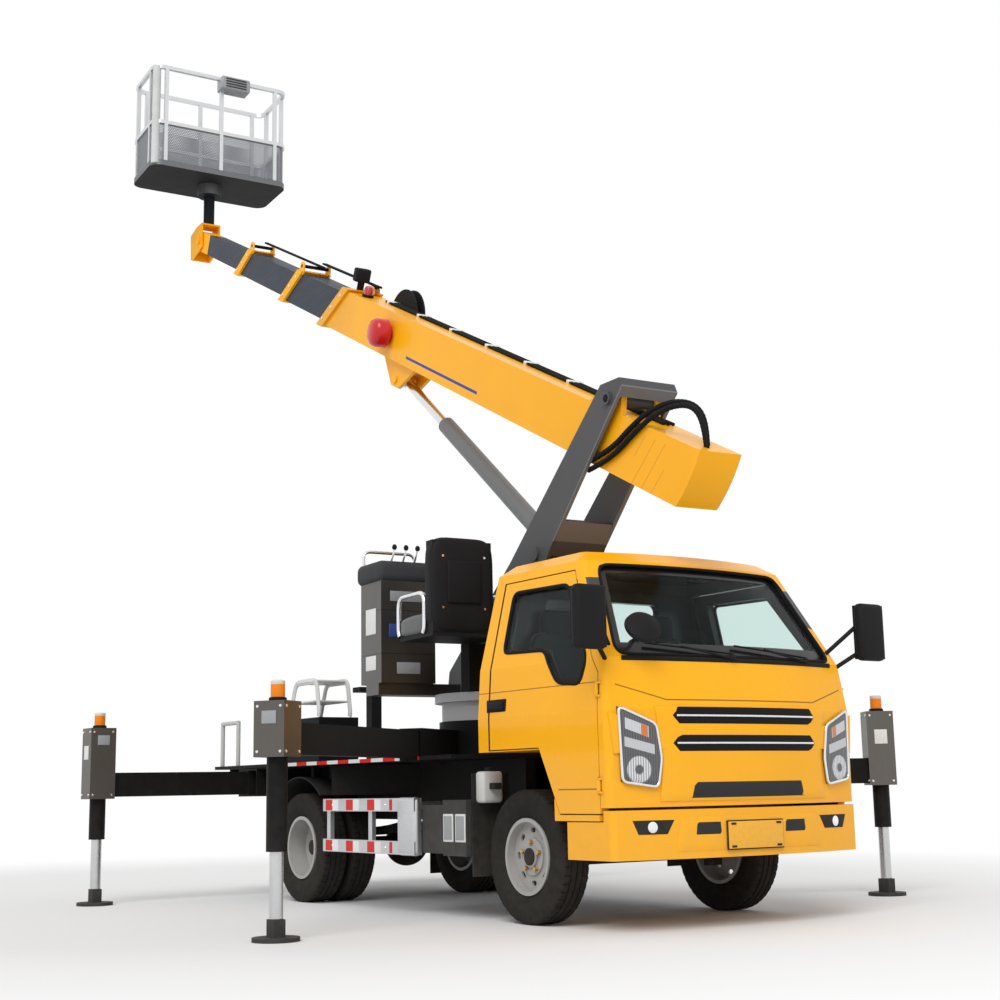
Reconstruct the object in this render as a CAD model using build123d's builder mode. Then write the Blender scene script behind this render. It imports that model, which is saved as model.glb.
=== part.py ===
from build123d import *
import os
from math import cos, radians, sin, sqrt

# Light cab-over truck that carries a telescopic boom with a work basket.
# +X is forward, +Y the truck's left, +Z up, the ground is z = 0. Millimetres.
# Places along the truck are measured forward from the front axle, by at().

# Running gear
front_axle_x = 3563
wheelbase = 2800
tyre_radius = 388
tyre_width = 200
rim_radius = 215
rim_width = 160
rim_wall = 14
front_wheel_y = 740
rear_wheel_y = 805
twin_spacing = 235
kingpin_y = 590
kingpin_radius = 18
spindle_radius = 30
rear_spindle = 40
axle_tube = 62
axle_beam = 70
running_gap = 0.05
seat_gap = 0.3
moving_gap = 6

# Chassis
rail_y = 350
rail_width = 64
rail_height = 180
rail_top = 760
frame_front = 430
frame_rear = -4180

# Cab
cab_wall = 55
cab_rear = -330
cab_floor = 1000
cab_step = 480
cab_bottom = 600
floor_plate = 40
belt = 1490
door_front = 862
door_rear = -205
door_gap = 7
latch_gap = 16
glass_thickness = 6
glass_inset = 14
bumper_bottom = 390
bumper_top = 655
bumper_wall = 60

# Deck and outriggers
deck_front = -620
deck_rear = -4240
deck_half = 950
deck_top = 1000
deck_plate = 25
slew_x = -1500
pedestal_top = 1247
pedestal_radius = 420
beam_width = 130
beam_height = 176
slide_gap = 5
housing_wall = 11
mouth_length = 60
leg_size = 190
leg_top = 1280
leg_sheet = 5
jack_radius = 58
jack_rod = 38
jack_bottom = 470
foot_radius = 130

# Upper works, in the boom's own vertical plane
slew_rest = 4
ring_height = 150
column_half = 210
column_plate = 24
pivot_s = -1803
pivot_z = 3155
pivot_pin = 40
elevation = 26
boom_axis_n = -259
boom_width = 300
boom_height = 370
boom_wall = 12
tail_radius = 965
collar_length = 130
collar_lip = 22
head_slant = 1.2
lift_base_s = -895
lift_base_z = 2306
lift_eye_t = 3288
lift_eye_n = -592
lift_pin = 30
lift_rod_radius = 40
lift_barrel_radius = 66
lift_barrel_length = 2050
tip_pin_t = 8950
post_radius = 60
basket_rise = 655
basket_long = 1560
basket_deep = 760
basket_high = 1100
basket_tube = 40

axle_z = tyre_radius
rear_axle_x = front_axle_x - wheelbase
rail_outer = rail_y + rail_width / 2
rail_inner = rail_y - rail_width / 2
rail_bottom = rail_top - rail_height
on_floor = (Align.CENTER, Align.CENTER, Align.MIN)

os.makedirs("parts", exist_ok=True)


def save(part, label):
    """Names a finished piece and writes it to its own file."""
    part.label = label
    export_step(part, f"parts/{label}.step")


def at(x):
    """A place measured forward from the front axle."""
    return front_axle_x + x


def outward(x, y, z, side):
    """A plane square to the truck's side, facing out on that side."""
    return Plane(origin=(x, side * y, z), x_dir=(1, 0, 0), z_dir=(0, side, 0))


def side_view(x, y):
    """An upright plane along the truck: local x forward, local y up."""
    return Plane(origin=(x, y, 0), x_dir=(1, 0, 0), z_dir=(0, -1, 0))


def along(start, end):
    """The plane square to a straight run at its start, and the run's length."""
    run = Vector(end) - Vector(start)
    return Plane(origin=start, z_dir=run), run.length


# Chassis frame: two rails, cross members, bumper horns and the cab's mounts
bumper_back = 850
horn_height = 70
horn_bottom = cab_bottom - 10 - horn_height
cross_members = (-560, -1050, -2050, -3150, frame_rear + 50)
cab_mounts = (cab_rear + 110, cab_step - 90)
with BuildPart() as chassis_frame:
    for side in (-1, 1):
        with Locations((at((frame_front + frame_rear) / 2), side * rail_y, rail_bottom)):
            Box(frame_front - frame_rear, rail_width, rail_height, align=on_floor)
        with Locations((at(bumper_back), side * rail_y, horn_bottom)):
            Box(bumper_back - frame_front + 200, rail_width, horn_height,
                align=(Align.MAX, Align.CENTER, Align.MIN))
        for x in cab_mounts:
            with Locations((at(x), side * rail_y, rail_top)):
                Box(90, rail_width, cab_floor - rail_top, align=on_floor)
    for x in cross_members:
        with Locations((at(x), 0, rail_top - rail_height / 2)):
            Box(80, 2 * rail_inner + 20, 110)
save(chassis_frame.part, "chassis_frame")

# Front axle: beam, kingpin bosses, kingpins and spring seats
boss_half = 60
boss_radius = 38
ear_half = 105
boss_bottom = axle_z - boss_half
seat_height = 25
front_seat_z = boss_bottom + axle_beam + seat_height
with BuildPart() as front_axle:
    with Locations((at(0), 0, boss_bottom)):
        Box(axle_beam, 2 * kingpin_y, axle_beam, align=on_floor)
    for side in (-1, 1):
        with Locations((at(0), side * kingpin_y, axle_z)):
            Cylinder(boss_radius, 2 * boss_half)
            Cylinder(kingpin_radius, 2 * ear_half)
        with Locations((at(0), side * rail_y, boss_bottom + axle_beam)):
            Box(110, rail_width, seat_height, align=on_floor)
save(front_axle.part, "front_axle")

# Rear axle: tube, differential housing, spindles and spring seats
hub_start = 490
rear_spindle_end = rear_wheel_y - 32
rear_seat_z = axle_z + axle_tube + 12
with BuildPart() as rear_axle:
    with BuildSketch(outward(rear_axle_x, 0, axle_z, 1)):
        Circle(axle_tube)
    extrude(amount=hub_start - moving_gap, both=True)
    with BuildSketch(outward(rear_axle_x, 0, axle_z, 1)):
        Circle(rear_spindle)
    extrude(amount=rear_spindle_end, both=True)
    with Locations((rear_axle_x, 0, axle_z)):
        Sphere(165)
    for side in (-1, 1):
        with Locations((rear_axle_x, side * rail_y, rear_seat_z)):
            Box(120, rail_width, 40, align=(Align.CENTER, Align.CENTER, Align.MAX))
save(rear_axle.part, "rear_axle")

# Leaf springs: a bowed pack on each axle seat, its ends under the rails or the horns
# Columns: axle, seat height, half length, pack thickness, rear end and front end heights
spring_width = 60
spring_flat = 70
springs = (
    (at(0), front_seat_z, 560, 45, rail_bottom, horn_bottom),
    (rear_axle_x, rear_seat_z, 640, 60, rail_bottom, rail_bottom),
)
with BuildPart() as leaf_springs:
    for axle_x, seat, half, pack, rear_end, front_end in springs:
        for side in (-1, 1):
            with BuildSketch(side_view(axle_x, side * rail_y)):
                with BuildLine():
                    for z in (seat, seat + pack):
                        Line((-spring_flat, z), (spring_flat, z))
                        for d, end in ((-1, rear_end), (1, front_end)):
                            TangentArc((d * spring_flat, z), (d * half, end - seat - pack + z), tangent=(d, 0))
                    for d, end in ((-1, rear_end), (1, front_end)):
                        Line((d * half, end - pack), (d * half, end))
                make_face()
            extrude(amount=spring_width / 2, both=True)
save(leaf_springs.part, "leaf_springs")

# Engine and gearbox: one block hung between the rails
with BuildPart() as engine_block:
    with Locations((at(20), 0, axle_z + 40)):
        Box(700, 400, cab_floor - axle_z - 80, align=on_floor)
    with Locations((at(-560), 0, axle_z + 60)):
        Box(480, 280, 100, align=on_floor)
    with Locations((at(120), 0, rail_top - rail_height / 2)):
        Box(120, 2 * rail_inner, 60)
save(engine_block.part, "engine_block")


def axle_section(axle_x, y, side):
    """A plane through an axle line: local x runs outward along it, local y away from it."""
    return Plane(origin=(axle_x, side * y, axle_z), x_dir=(0, side, 0), z_dir=(side, 0, 0))


def tyres(axle_x, places, side):
    """Tyres at the given places along one axle end: tread, shoulders and bulged walls."""
    half = tyre_width / 2
    bead = rim_width / 2 - 14
    shoulder = half - 22
    inner = rim_radius + seat_gap
    with BuildPart() as rubber:
        for y in places:
            with BuildSketch(axle_section(axle_x, y, side)):
                with BuildLine():
                    Line((-shoulder, tyre_radius), (shoulder, tyre_radius))
                    for d in (-1, 1):
                        ThreePointArc((d * shoulder, tyre_radius), (d * (half - 7), tyre_radius - 14),
                                      (d * half, tyre_radius - 80))
                        ThreePointArc((d * half, tyre_radius - 80), (d * (half - 10), inner + 42),
                                      (d * bead, inner))
                    Line((-bead, inner), (bead, inner))
                make_face()
            revolve(axis=Axis((axle_x, 0, axle_z), (0, 1, 0)))
    return rubber.part


def turned_bands(axle_x, side, rows):
    """Turns bands about an axle, from rows of y start, y end, inner and outer radius."""
    with BuildPart() as turned:
        with BuildSketch(axle_section(axle_x, 0, side)):
            for y0, y1, r0, r1 in rows:
                with Locations(((y0 + y1) / 2, (r0 + r1) / 2)):
                    Rectangle(y1 - y0, r1 - r0)
        revolve(axis=Axis((axle_x, 0, axle_z), (0, 1, 0)))
    return turned.part


rim_inner = rim_radius - rim_wall
flange_radius = rim_radius + 8
hand_hole_radius = 153
hand_holes = 8


def rim_rows(y):
    """The rim's barrel and its two flanges, centred at y."""
    half = rim_width / 2
    return [
        (y - half, y + half, rim_inner, rim_radius),
        (y - half - 6, y - half + 5, rim_inner, flange_radius),
        (y + half - 5, y + half + 6, rim_inner, flange_radius),
    ]


def cut_hand_holes(axle_x, side, y):
    """A ring of oval holes through a wheel's disc, as one cutter."""
    with BuildPart() as cutter:
        with BuildSketch(outward(axle_x, y, axle_z, side)):
            with PolarLocations(hand_hole_radius, hand_holes):
                SlotOverall(48, 30, rotation=90)
        extrude(amount=60, both=True)
    return cutter.part


# Front wheel: hub on the knuckle's spindle, disc set out towards the flange
front_hub_start = kingpin_y + 80
front_spindle_end = front_wheel_y + 30
front_hub_end = front_wheel_y + 62


def front_wheel(side):
    """One steered steel wheel with its hub."""
    rows = rim_rows(front_wheel_y) + [
        (front_wheel_y + 20, front_wheel_y + 34, 0, rim_inner + 2),
        (front_wheel_y + 34, front_wheel_y + 46, 0, 108),
        (front_hub_start, front_hub_end, 0, 62),
    ]
    with BuildPart() as wheel:
        add(turned_bands(at(0), side, rows))
        add(cut_hand_holes(at(0), side, front_wheel_y + 27), mode=Mode.SUBTRACT)
        with BuildSketch(outward(at(0), front_hub_start, axle_z, side)):
            Circle(spindle_radius + running_gap)
        extrude(amount=front_spindle_end + 1 - front_hub_start, mode=Mode.SUBTRACT)
    return wheel.part


def knuckle(side):
    """Two ears round the kingpin, the web that joins them and the wheel's spindle."""
    ear = ear_half - boss_half - moving_gap
    web_in = boss_radius + moving_gap
    web = front_hub_start - moving_gap - kingpin_y - web_in
    with BuildPart() as steering:
        for z in (axle_z - ear_half, axle_z + ear_half - ear):
            with Locations((at(0), side * kingpin_y, z)):
                Cylinder(boss_radius, ear, align=on_floor)
            with Locations((at(0), side * (kingpin_y + web_in / 2 + 5), z)):
                Box(2 * boss_radius - 12, web_in + 10, ear, align=on_floor)
        with Locations((at(0), side * (kingpin_y + web_in + web / 2), axle_z)):
            Box(2 * boss_radius - 12, web, 2 * ear_half)
        with BuildSketch(outward(at(0), kingpin_y + web_in, axle_z, side)):
            Circle(spindle_radius)
        extrude(amount=front_spindle_end - kingpin_y - web_in)
        with Locations((at(0), side * kingpin_y, axle_z)):
            Cylinder(kingpin_radius + running_gap, 2 * ear_half + 20, mode=Mode.SUBTRACT)
    return steering.part


def rear_wheel(side):
    """Twin steel wheels on one hub, their discs dished to the flange between them."""
    inner_y = rear_wheel_y - twin_spacing
    mid = (rear_wheel_y + inner_y) / 2
    rows = rim_rows(rear_wheel_y) + rim_rows(inner_y) + [
        (hub_start, mid + 80, 0, 85),
        (mid + 80, rear_wheel_y - 10, 0, 60),
    ]
    with BuildPart() as wheel:
        add(turned_bands(rear_axle_x, side, rows))
        with BuildSketch(axle_section(rear_axle_x, 0, side)):
            for y, d in ((rear_wheel_y, 1), (inner_y, -1)):
                Polygon((mid, 50), (mid + d * 14, 50), (mid + d * 14, 118), (y - d * 55, rim_inner + 2),
                        (y - d * 72, rim_inner + 2), (mid, 124), align=None)
        revolve(axis=Axis((rear_axle_x, 0, axle_z), (0, 1, 0)))
        add(cut_hand_holes(rear_axle_x, side, mid), mode=Mode.SUBTRACT)
        with BuildSketch(outward(rear_axle_x, hub_start, axle_z, side)):
            Circle(rear_spindle + running_gap)
        extrude(amount=rear_spindle_end + 1 - hub_start, mode=Mode.SUBTRACT)
    return wheel.part


sides = (("right", -1), ("left", 1))
for name, side in sides:
    save(tyres(at(0), (front_wheel_y,), side), f"front_tyre_{name}")
    save(front_wheel(side), f"front_wheel_{name}")
    save(knuckle(side), f"knuckle_{name}")
    save(tyres(rear_axle_x, (rear_wheel_y, rear_wheel_y - twin_spacing), side), f"rear_tyre_{name}")
    save(rear_wheel(side), f"rear_wheel_{name}")

# Cab: level sections, each with straight sides, round corners and a bowed front
# Columns: z, half width, front corner x, front middle x, rear x
corner_radius = 45
roof_edge = 2080
roof_top = 2145
cab_sections = (
    (cab_bottom, 930, 950, 1045, cab_rear),
    (1200, 935, 950, 1060, cab_rear),
    (belt, 915, 905, 1000, cab_rear),
    (roof_edge, 775, 560, 650, cab_rear + 20),
    (roof_top, 690, 470, 560, cab_rear + 90),
)


def bowed_section(half, corner, middle, rear):
    """One level outline: straight back and sides, round corners, bowed front."""
    r = corner_radius
    soft = r * (1 - sqrt(0.5))
    with BuildLine() as outline:
        Polyline((at(corner) - r, -half), (at(rear), -half), (at(rear), half), (at(corner) - r, half))
        for side in (-1, 1):
            ThreePointArc((at(corner) - r, side * half), (at(corner) - soft, side * (half - soft)),
                          (at(corner), side * (half - r)))
        ThreePointArc((at(corner), r - half), (at(middle), 0), (at(corner), half - r))
    return outline.line


def cab_body(inset):
    """The cab's outer form, or the same form set in by a wall."""
    with BuildPart() as body:
        for z, half, corner, middle, rear in cab_sections:
            level = z - inset if z > belt else z
            with BuildSketch(Plane.XY.offset(level)):
                add(bowed_section(half - inset, corner - inset, middle - inset, rear + inset))
                make_face()
        loft(ruled=True)
    return body.part


def side_prism(points, reach=1300):
    """A side view's outline carried right across the cab."""
    with BuildPart() as prism:
        with BuildSketch(Plane.XZ):
            Polygon(*[(at(x), z) for x, z in points], align=None)
        extrude(amount=reach, both=True)
    return prism.part


door_outline = (
    (door_rear, cab_floor + 12), (300, cab_floor + 12), (cab_step + 10, cab_bottom + 40),
    (door_front, cab_bottom + 40), (door_front, belt - 90), (door_front - 60, belt),
    (500, roof_edge - 60), (door_rear, roof_edge - 60),
)
door_window = ((-100, 1585), (330, 1570), (480, 1370), (700, 1350), (755, 1490), (455, 1945), (-100, 1955))
screen_half_low, screen_half_high = 825, 690
screen_low, screen_high = belt + 15, roof_edge - 25


def front_prism(points, start, end):
    """A front view's outline carried from one place along the truck to another."""
    with BuildPart() as prism:
        with BuildSketch(Plane.YZ.offset(at(start))):
            Polygon(*points, align=None)
            fillet(vertices(), radius=45)
        extrude(amount=end - start)
    return prism.part


outer_form = cab_body(0)
inner_form = cab_body(cab_wall)
screen_prism = front_prism(
    ((-screen_half_low, screen_low), (screen_half_low, screen_low),
     (screen_half_high, screen_high), (-screen_half_high, screen_high)), 250, 1200)
back_prism = front_prism(((-480, 1640), (480, 1640), (450, 1960), (-450, 1960)), cab_rear - 60, cab_rear + 130)
window_prism = side_prism(door_window)

# The space inside the cab, above the seat platform and the foot well's floor
with BuildPart() as cab_space:
    add(inner_form)
    with Locations((at(cab_rear - 100), 0, 0)):
        Box(cab_step - cab_rear + 100, 3000, cab_floor + floor_plate,
            align=(Align.MIN, Align.CENTER, Align.MIN), mode=Mode.SUBTRACT)
    with Locations((at(0), 0, 0)):
        Box(2000, 3000, cab_bottom + floor_plate, align=(Align.MIN, Align.CENTER, Align.MIN),
            mode=Mode.SUBTRACT)

# The nose panel's share of the cab: the front wall and both corners, up to the belt
nose_bottom = bumper_top + 15


def nose_share(gap):
    """The block that holds the nose panel, grown by a gap."""
    height = belt - nose_bottom + 2 * gap
    from_low = (Align.MIN, Align.CENTER, Align.MIN)
    with BuildPart() as share:
        with Locations((at(door_front + door_gap - gap), 0, nose_bottom - gap)):
            Box(400, 2200, height, align=from_low)
        with Locations((at(door_front - 60 - gap), 0, nose_bottom - gap)):
            Box(400, 2 * (840 + gap), height, align=from_low)
    return share.part


nose_block = nose_share(0)

with BuildPart() as door_opening:
    with BuildSketch(Plane.XZ):
        Polygon(*[(at(x), z) for x, z in door_outline], align=None)
        offset(amount=door_gap, kind=Kind.INTERSECTION)
        with Locations((at(door_rear), cab_floor + 12 - door_gap)):
            Rectangle(latch_gap, roof_edge - 60 - cab_floor - 12 + 2 * door_gap,
                      align=(Align.MAX, Align.MIN))
    extrude(amount=1300, both=True)
    add(cab_body(cab_wall + moving_gap), mode=Mode.SUBTRACT)

with BuildPart() as cab_shell:
    add(outer_form)
    add(cab_space.part, mode=Mode.SUBTRACT)
    with Locations((at(cab_rear - 100), 0, 0)):
        Box(cab_step - floor_plate - cab_rear + 100, 3000, cab_floor,
            align=(Align.MIN, Align.CENTER, Align.MIN), mode=Mode.SUBTRACT)
    with Locations((at(door_front - 10), 0, 0)):
        Box(600, 3000, nose_bottom, align=(Align.MIN, Align.CENTER, Align.MIN), mode=Mode.SUBTRACT)
    add(door_opening.part, mode=Mode.SUBTRACT)
    add(nose_block, mode=Mode.SUBTRACT)
    add(screen_prism, mode=Mode.SUBTRACT)
    add(back_prism, mode=Mode.SUBTRACT)
save(cab_shell.part, "cab_shell")

# Door hinges: pins held at the nose's rear edges, each in a barrel on its door
hinge_y = 935
hinge_rows = (760, 1280)
hinge_height = 60
hinge_pin = 7
hinge_barrel = 14
hinge_leaf = 12


def hinge_posts(side, radius, past):
    """Upright posts on one door's hinge line, each reaching past both ends of its barrel."""
    with BuildPart() as posts:
        with Locations(*[(at(door_front), side * hinge_y, z + hinge_height / 2) for z in hinge_rows]):
            Cylinder(radius, hinge_height + 2 * past)
    return posts.part


# Lamps and grille follow the nose's own surface
# Columns: y and z of each corner, on the left
lamp_outline = ((560, 985), (900, 960), (925, 1185), (820, 1150), (600, 1110))
grille_outline = ((-520, 985), (520, 985), (500, 1100), (-500, 1100))
lamp_proud, lamp_depth = 10, 34
lamp_skin = cab_body(-lamp_proud) - cab_body(lamp_depth)


def nose_fitting(outline):
    """A fitting let into the nose: the outline carried through a skin round its surface."""
    with BuildPart() as fitting:
        with BuildSketch(Plane.YZ.offset(at(door_front + 2 * door_gap))):
            Polygon(*outline, align=None)
        extrude(amount=400)
        add(lamp_skin, mode=Mode.INTERSECT)
    return fitting.part


with BuildPart() as headlamps:
    add(nose_fitting(lamp_outline))
    add(nose_fitting([(-y, z) for y, z in lamp_outline]))
with BuildPart() as grille:
    add(nose_fitting(grille_outline))
with BuildPart() as cab_front:
    add(outer_form)
    add(cab_space.part, mode=Mode.SUBTRACT)
    add(nose_block, mode=Mode.INTERSECT)
    add(headlamps.part, mode=Mode.SUBTRACT)
    add(grille.part, mode=Mode.SUBTRACT)
    for side in (-1, 1):
        add(hinge_posts(side, hinge_barrel + moving_gap, seat_gap), mode=Mode.SUBTRACT)
        add(hinge_posts(side, hinge_pin, hinge_leaf))
        for z in hinge_rows:
            for low in (-hinge_leaf, hinge_height + seat_gap):
                with Locations((at(door_front + 5), side * (hinge_y - 6), z + low)):
                    Box(28, 28, hinge_leaf - seat_gap, align=(Align.MIN, Align.CENTER, Align.MIN))
save(cab_front.part, "cab_front")
save(headlamps.part, "headlamps")
save(grille.part, "grille")

# Doors with cut windows, and their glass
for name, side in sides:
    with BuildPart() as half_space:
        with Locations((at(0), side * 1000, 1500)):
            Box(4000, 1400, 3000)
    with BuildPart() as door:
        add(side_prism(door_outline))
        add(half_space.part, mode=Mode.INTERSECT)
        add(outer_form, mode=Mode.INTERSECT)
        add(inner_form, mode=Mode.SUBTRACT)
        add(window_prism, mode=Mode.SUBTRACT)
        add(nose_share(door_gap), mode=Mode.SUBTRACT)
        add(hinge_posts(side, hinge_pin + moving_gap, hinge_leaf + moving_gap), mode=Mode.SUBTRACT)
        add(hinge_posts(side, hinge_barrel, 0))
        add(hinge_posts(side, hinge_pin + running_gap, 1), mode=Mode.SUBTRACT)
    save(door.part, f"door_{name}")
    with BuildPart() as door_glass:
        add(window_prism)
        add(half_space.part, mode=Mode.INTERSECT)
        add(cab_body(glass_inset), mode=Mode.INTERSECT)
        add(cab_body(glass_inset + glass_thickness), mode=Mode.SUBTRACT)
    save(door_glass.part, f"door_glass_{name}")

with BuildPart() as cab_glass:
    add(screen_prism)
    add(back_prism)
    add(cab_body(glass_inset), mode=Mode.INTERSECT)
    add(cab_body(glass_inset + glass_thickness), mode=Mode.SUBTRACT)
save(cab_glass.part, "cab_glass")

# Bumper: a bowed bar with side returns and stays back to the horns
with BuildPart() as bumper:
    with BuildSketch(Plane.XY.offset(bumper_bottom)):
        add(bowed_section(925, 965, 1062, cab_step + 70))
        make_face()
    extrude(amount=bumper_top - bumper_bottom)
    with BuildSketch(Plane.XY.offset(bumper_bottom)):
        add(bowed_section(925 - bumper_wall, 965 - bumper_wall, 1062 - bumper_wall, cab_step - 100))
        make_face()
    extrude(amount=bumper_top - bumper_bottom, mode=Mode.SUBTRACT)
    with Locations((at(cab_step), 0, cab_bottom - moving_gap)):
        Box(door_front + 20 - cab_step, 3000, 400, align=(Align.MIN, Align.CENTER, Align.MIN), mode=Mode.SUBTRACT)
    for side in (-1, 1):
        with Locations((at(bumper_back), side * rail_y, horn_bottom)):
            Box(1000 - bumper_back, rail_width, horn_height, align=(Align.MIN, Align.CENTER, Align.MIN))
save(bumper.part, "bumper")

# Cab inside: dashboard, seats and the steering wheel with its column
with BuildPart() as dashboard:
    with Locations((at(640), 0, 1020)):
        Box(500, 1560, 400, align=(Align.MIN, Align.CENTER, Align.MIN))
    add(inner_form, mode=Mode.INTERSECT)
save(dashboard.part, "dashboard")

seat_places = (-380, 380)
with BuildPart() as cab_seats:
    for y in seat_places:
        with BuildSketch(side_view(at(0), y)):
            with Locations((0, cab_floor + floor_plate)):
                Polygon((-200, 0), (330, 0), (350, 150), (-130, 140), (-180, 700), (-262, 700), (-262, 140),
                        align=None)
        extrude(amount=240, both=True)
save(cab_seats.part, "cab_seats")

wheel_centre = Vector(at(470), seat_places[1], 1430)
column_foot = Vector(at(660), seat_places[1], 1200)
with BuildPart() as steering_wheel:
    plane, length = along(wheel_centre, column_foot)
    with BuildSketch(Plane(origin=wheel_centre, x_dir=(0, 1, 0), z_dir=plane.z_dir)):
        Circle(205)
        Circle(172, mode=Mode.SUBTRACT)
        Rectangle(360, 36)
        Circle(55)
    extrude(amount=24)
    with BuildSketch(plane):
        Circle(26)
    extrude(amount=length)
    add(dashboard.part, mode=Mode.SUBTRACT)
save(steering_wheel.part, "steering_wheel")

# Mirrors: a head on two stays from each front pillar
with BuildPart() as mirrors:
    for side in (-1, 1):
        head = (at(1000), side * 1080, 1690)
        with Locations(head):
            Box(70, 190, 330)
        for z_low, z_high in ((1440, 1600), (1560, 1780)):
            plane, length = along((at(860), side * 840, z_low), (at(1000), side * 1060, z_high))
            with BuildSketch(plane):
                Circle(13)
            extrude(amount=length)
    add(outer_form, mode=Mode.SUBTRACT)
save(mirrors.part, "mirrors")

# Side guards: two rails, three uprights and two brackets on each side
guard_front, guard_rear = -1080, -2340
with BuildPart() as side_guards:
    for side in (-1, 1):
        for z in (375, 650):
            with Locations((at((guard_front + guard_rear) / 2), side * (deck_half - 15), z)):
                Box(guard_front - guard_rear, 30, 85, align=on_floor)
        for x in (guard_front - 30, (guard_front + guard_rear) / 2, guard_rear + 30):
            with Locations((at(x), side * (deck_half - 45), 375)):
                Box(50, 30, 360, align=on_floor)
        for x in (guard_front - 200, guard_rear + 200):
            with Locations((at(x), side * (deck_half - 30 + rail_outer) / 2, 660)):
                Box(50, deck_half - 30 - rail_outer, 50, align=on_floor)
save(side_guards.part, "side_guards")

# Tank, battery box and silencer, each against the rail's outer face
# Columns: side, front x, rear x, bottom z, height, outer y
boxes = ((-1, -490, -760, 380, 340, 930), (-1, -775, -1060, 390, 300, 900), (1, -490, -1040, 380, 330, 930))
with BuildPart() as side_boxes:
    for side, front, rear, bottom, height, reach in boxes:
        with Locations((at((front + rear) / 2), side * (rail_outer + reach) / 2, bottom)):
            Box(front - rear, reach - rail_outer, height, align=on_floor)
save(side_boxes.part, "side_boxes")

# Mudguards: an arch over each pair of twin wheels with its flap, and a flap behind each front wheel
arch_radius = tyre_radius + 112
arch_sheet = 8
arch_in, arch_out = 475, 915
flap_bottom = 130
with BuildPart() as mudguards:
    for side in (-1, 1):
        with BuildSketch(side_view(rear_axle_x, side * (arch_in + arch_out) / 2)):
            with BuildLine():
                inner = CenterArc((0, axle_z), arch_radius, 48, 102)
                outer = CenterArc((0, axle_z), arch_radius + arch_sheet, 48, 102)
                Line(inner @ 0, outer @ 0)
                Line(inner @ 1, outer @ 1)
            make_face()
        extrude(amount=(arch_out - arch_in) / 2, both=True)
        flap_x = rear_axle_x - (arch_radius + arch_sheet / 2) * cos(radians(30))
        flap_top = axle_z + arch_radius * sin(radians(30)) + 4
        with Locations((flap_x, side * (arch_in + arch_out) / 2, flap_bottom)):
            Box(arch_sheet, arch_out - arch_in, flap_top - flap_bottom, align=on_floor)
        for x in (-150, 150):
            low = axle_z + sqrt(arch_radius**2 - x**2) + 2
            with Locations((rear_axle_x + x, side * (arch_in + arch_out) / 2, low)):
                Box(40, 60, deck_top - deck_plate - low, align=on_floor)
        with Locations((at(-468), side * 765, 260)):
            Box(arch_sheet, 270, 620, align=on_floor)
        with Locations((at(-468), side * (rail_outer + 640) / 2, 660)):
            Box(arch_sheet, 640 - rail_outer, 60, align=on_floor)
save(mudguards.part, "mudguards")

# Outriggers. Front beams run out on a cross, one above the other, and rear beams straight across.
# Columns: name, foot x, foot y, inner heading x and y, beam bottom z, housing start, housing end, beam end
low_beam = rail_top + housing_wall + slide_gap
high_beam = low_beam + beam_height + 2 * (housing_wall + slide_gap) + 5
cross = Vector(slew_x - 270, 0)
front_foot = Vector(-160, 2360)
heading = (cross - front_foot).normalized()
rear_foot_x, rear_foot_y, rear_pitch = -3620, 2110, 166
beam_bottom_drop = 14
house_start, house_end = 1715, 3900
outriggers = (
    ("front_right", front_foot.X, -front_foot.Y, heading.X, -heading.Y, high_beam, house_start, house_end, 2400),
    ("front_left", front_foot.X, front_foot.Y, heading.X, heading.Y, low_beam, house_start, house_end, 2400),
    ("rear_right", rear_foot_x - rear_pitch / 2, -rear_foot_y, 0, 1, low_beam, 1165, 3055, 1790),
    ("rear_left", rear_foot_x + rear_pitch / 2, rear_foot_y, 0, -1, low_beam, 1165, 3055, 1790),
)


def beam_plane(foot_x, foot_y, hx, hy, bottom, start):
    """A plane square to an outrigger's beam, so far in from its foot, local y up."""
    origin = (at(foot_x) + hx * start, foot_y + hy * start, bottom + beam_height / 2)
    return Plane(origin=origin, x_dir=(hy, -hx, 0), z_dir=(hx, hy, 0))


deck_under = deck_top - deck_plate
frame_half = 40
with BuildPart() as outrigger_frame:
    for side in (-1, 1):
        with Locations((at((deck_front + frame_rear) / 2), side * rail_y, rail_top)):
            Box(deck_front - frame_rear, 2 * frame_half, deck_under - rail_top, align=on_floor)
    with Locations((at(slew_x), 0, rail_top)):
        Box(2 * pedestal_radius, 2 * rail_y, deck_under - rail_top, align=on_floor)
    with Locations((at(slew_x), 0, deck_under - 20)):
        Cylinder(pedestal_radius, pedestal_top - deck_under + 20, align=on_floor)
    for name, fx, fy, hx, hy, bottom, start, end, inner_end in outriggers:
        with BuildSketch(beam_plane(fx, fy, hx, hy, bottom, start)):
            Rectangle(beam_width + 2 * (slide_gap + housing_wall), beam_height + 2 * (slide_gap + housing_wall))
        extrude(amount=end - start)
    for name, fx, fy, hx, hy, bottom, start, end, inner_end in outriggers:
        for first, gap in ((start - 10, seat_gap), (start + mouth_length, slide_gap)):
            with BuildSketch(beam_plane(fx, fy, hx, hy, bottom, first)):
                Rectangle(beam_width + 2 * gap, beam_height + 2 * gap)
            extrude(amount=end - first + 10, mode=Mode.SUBTRACT)
save(outrigger_frame.part, "outrigger_frame")

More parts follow.
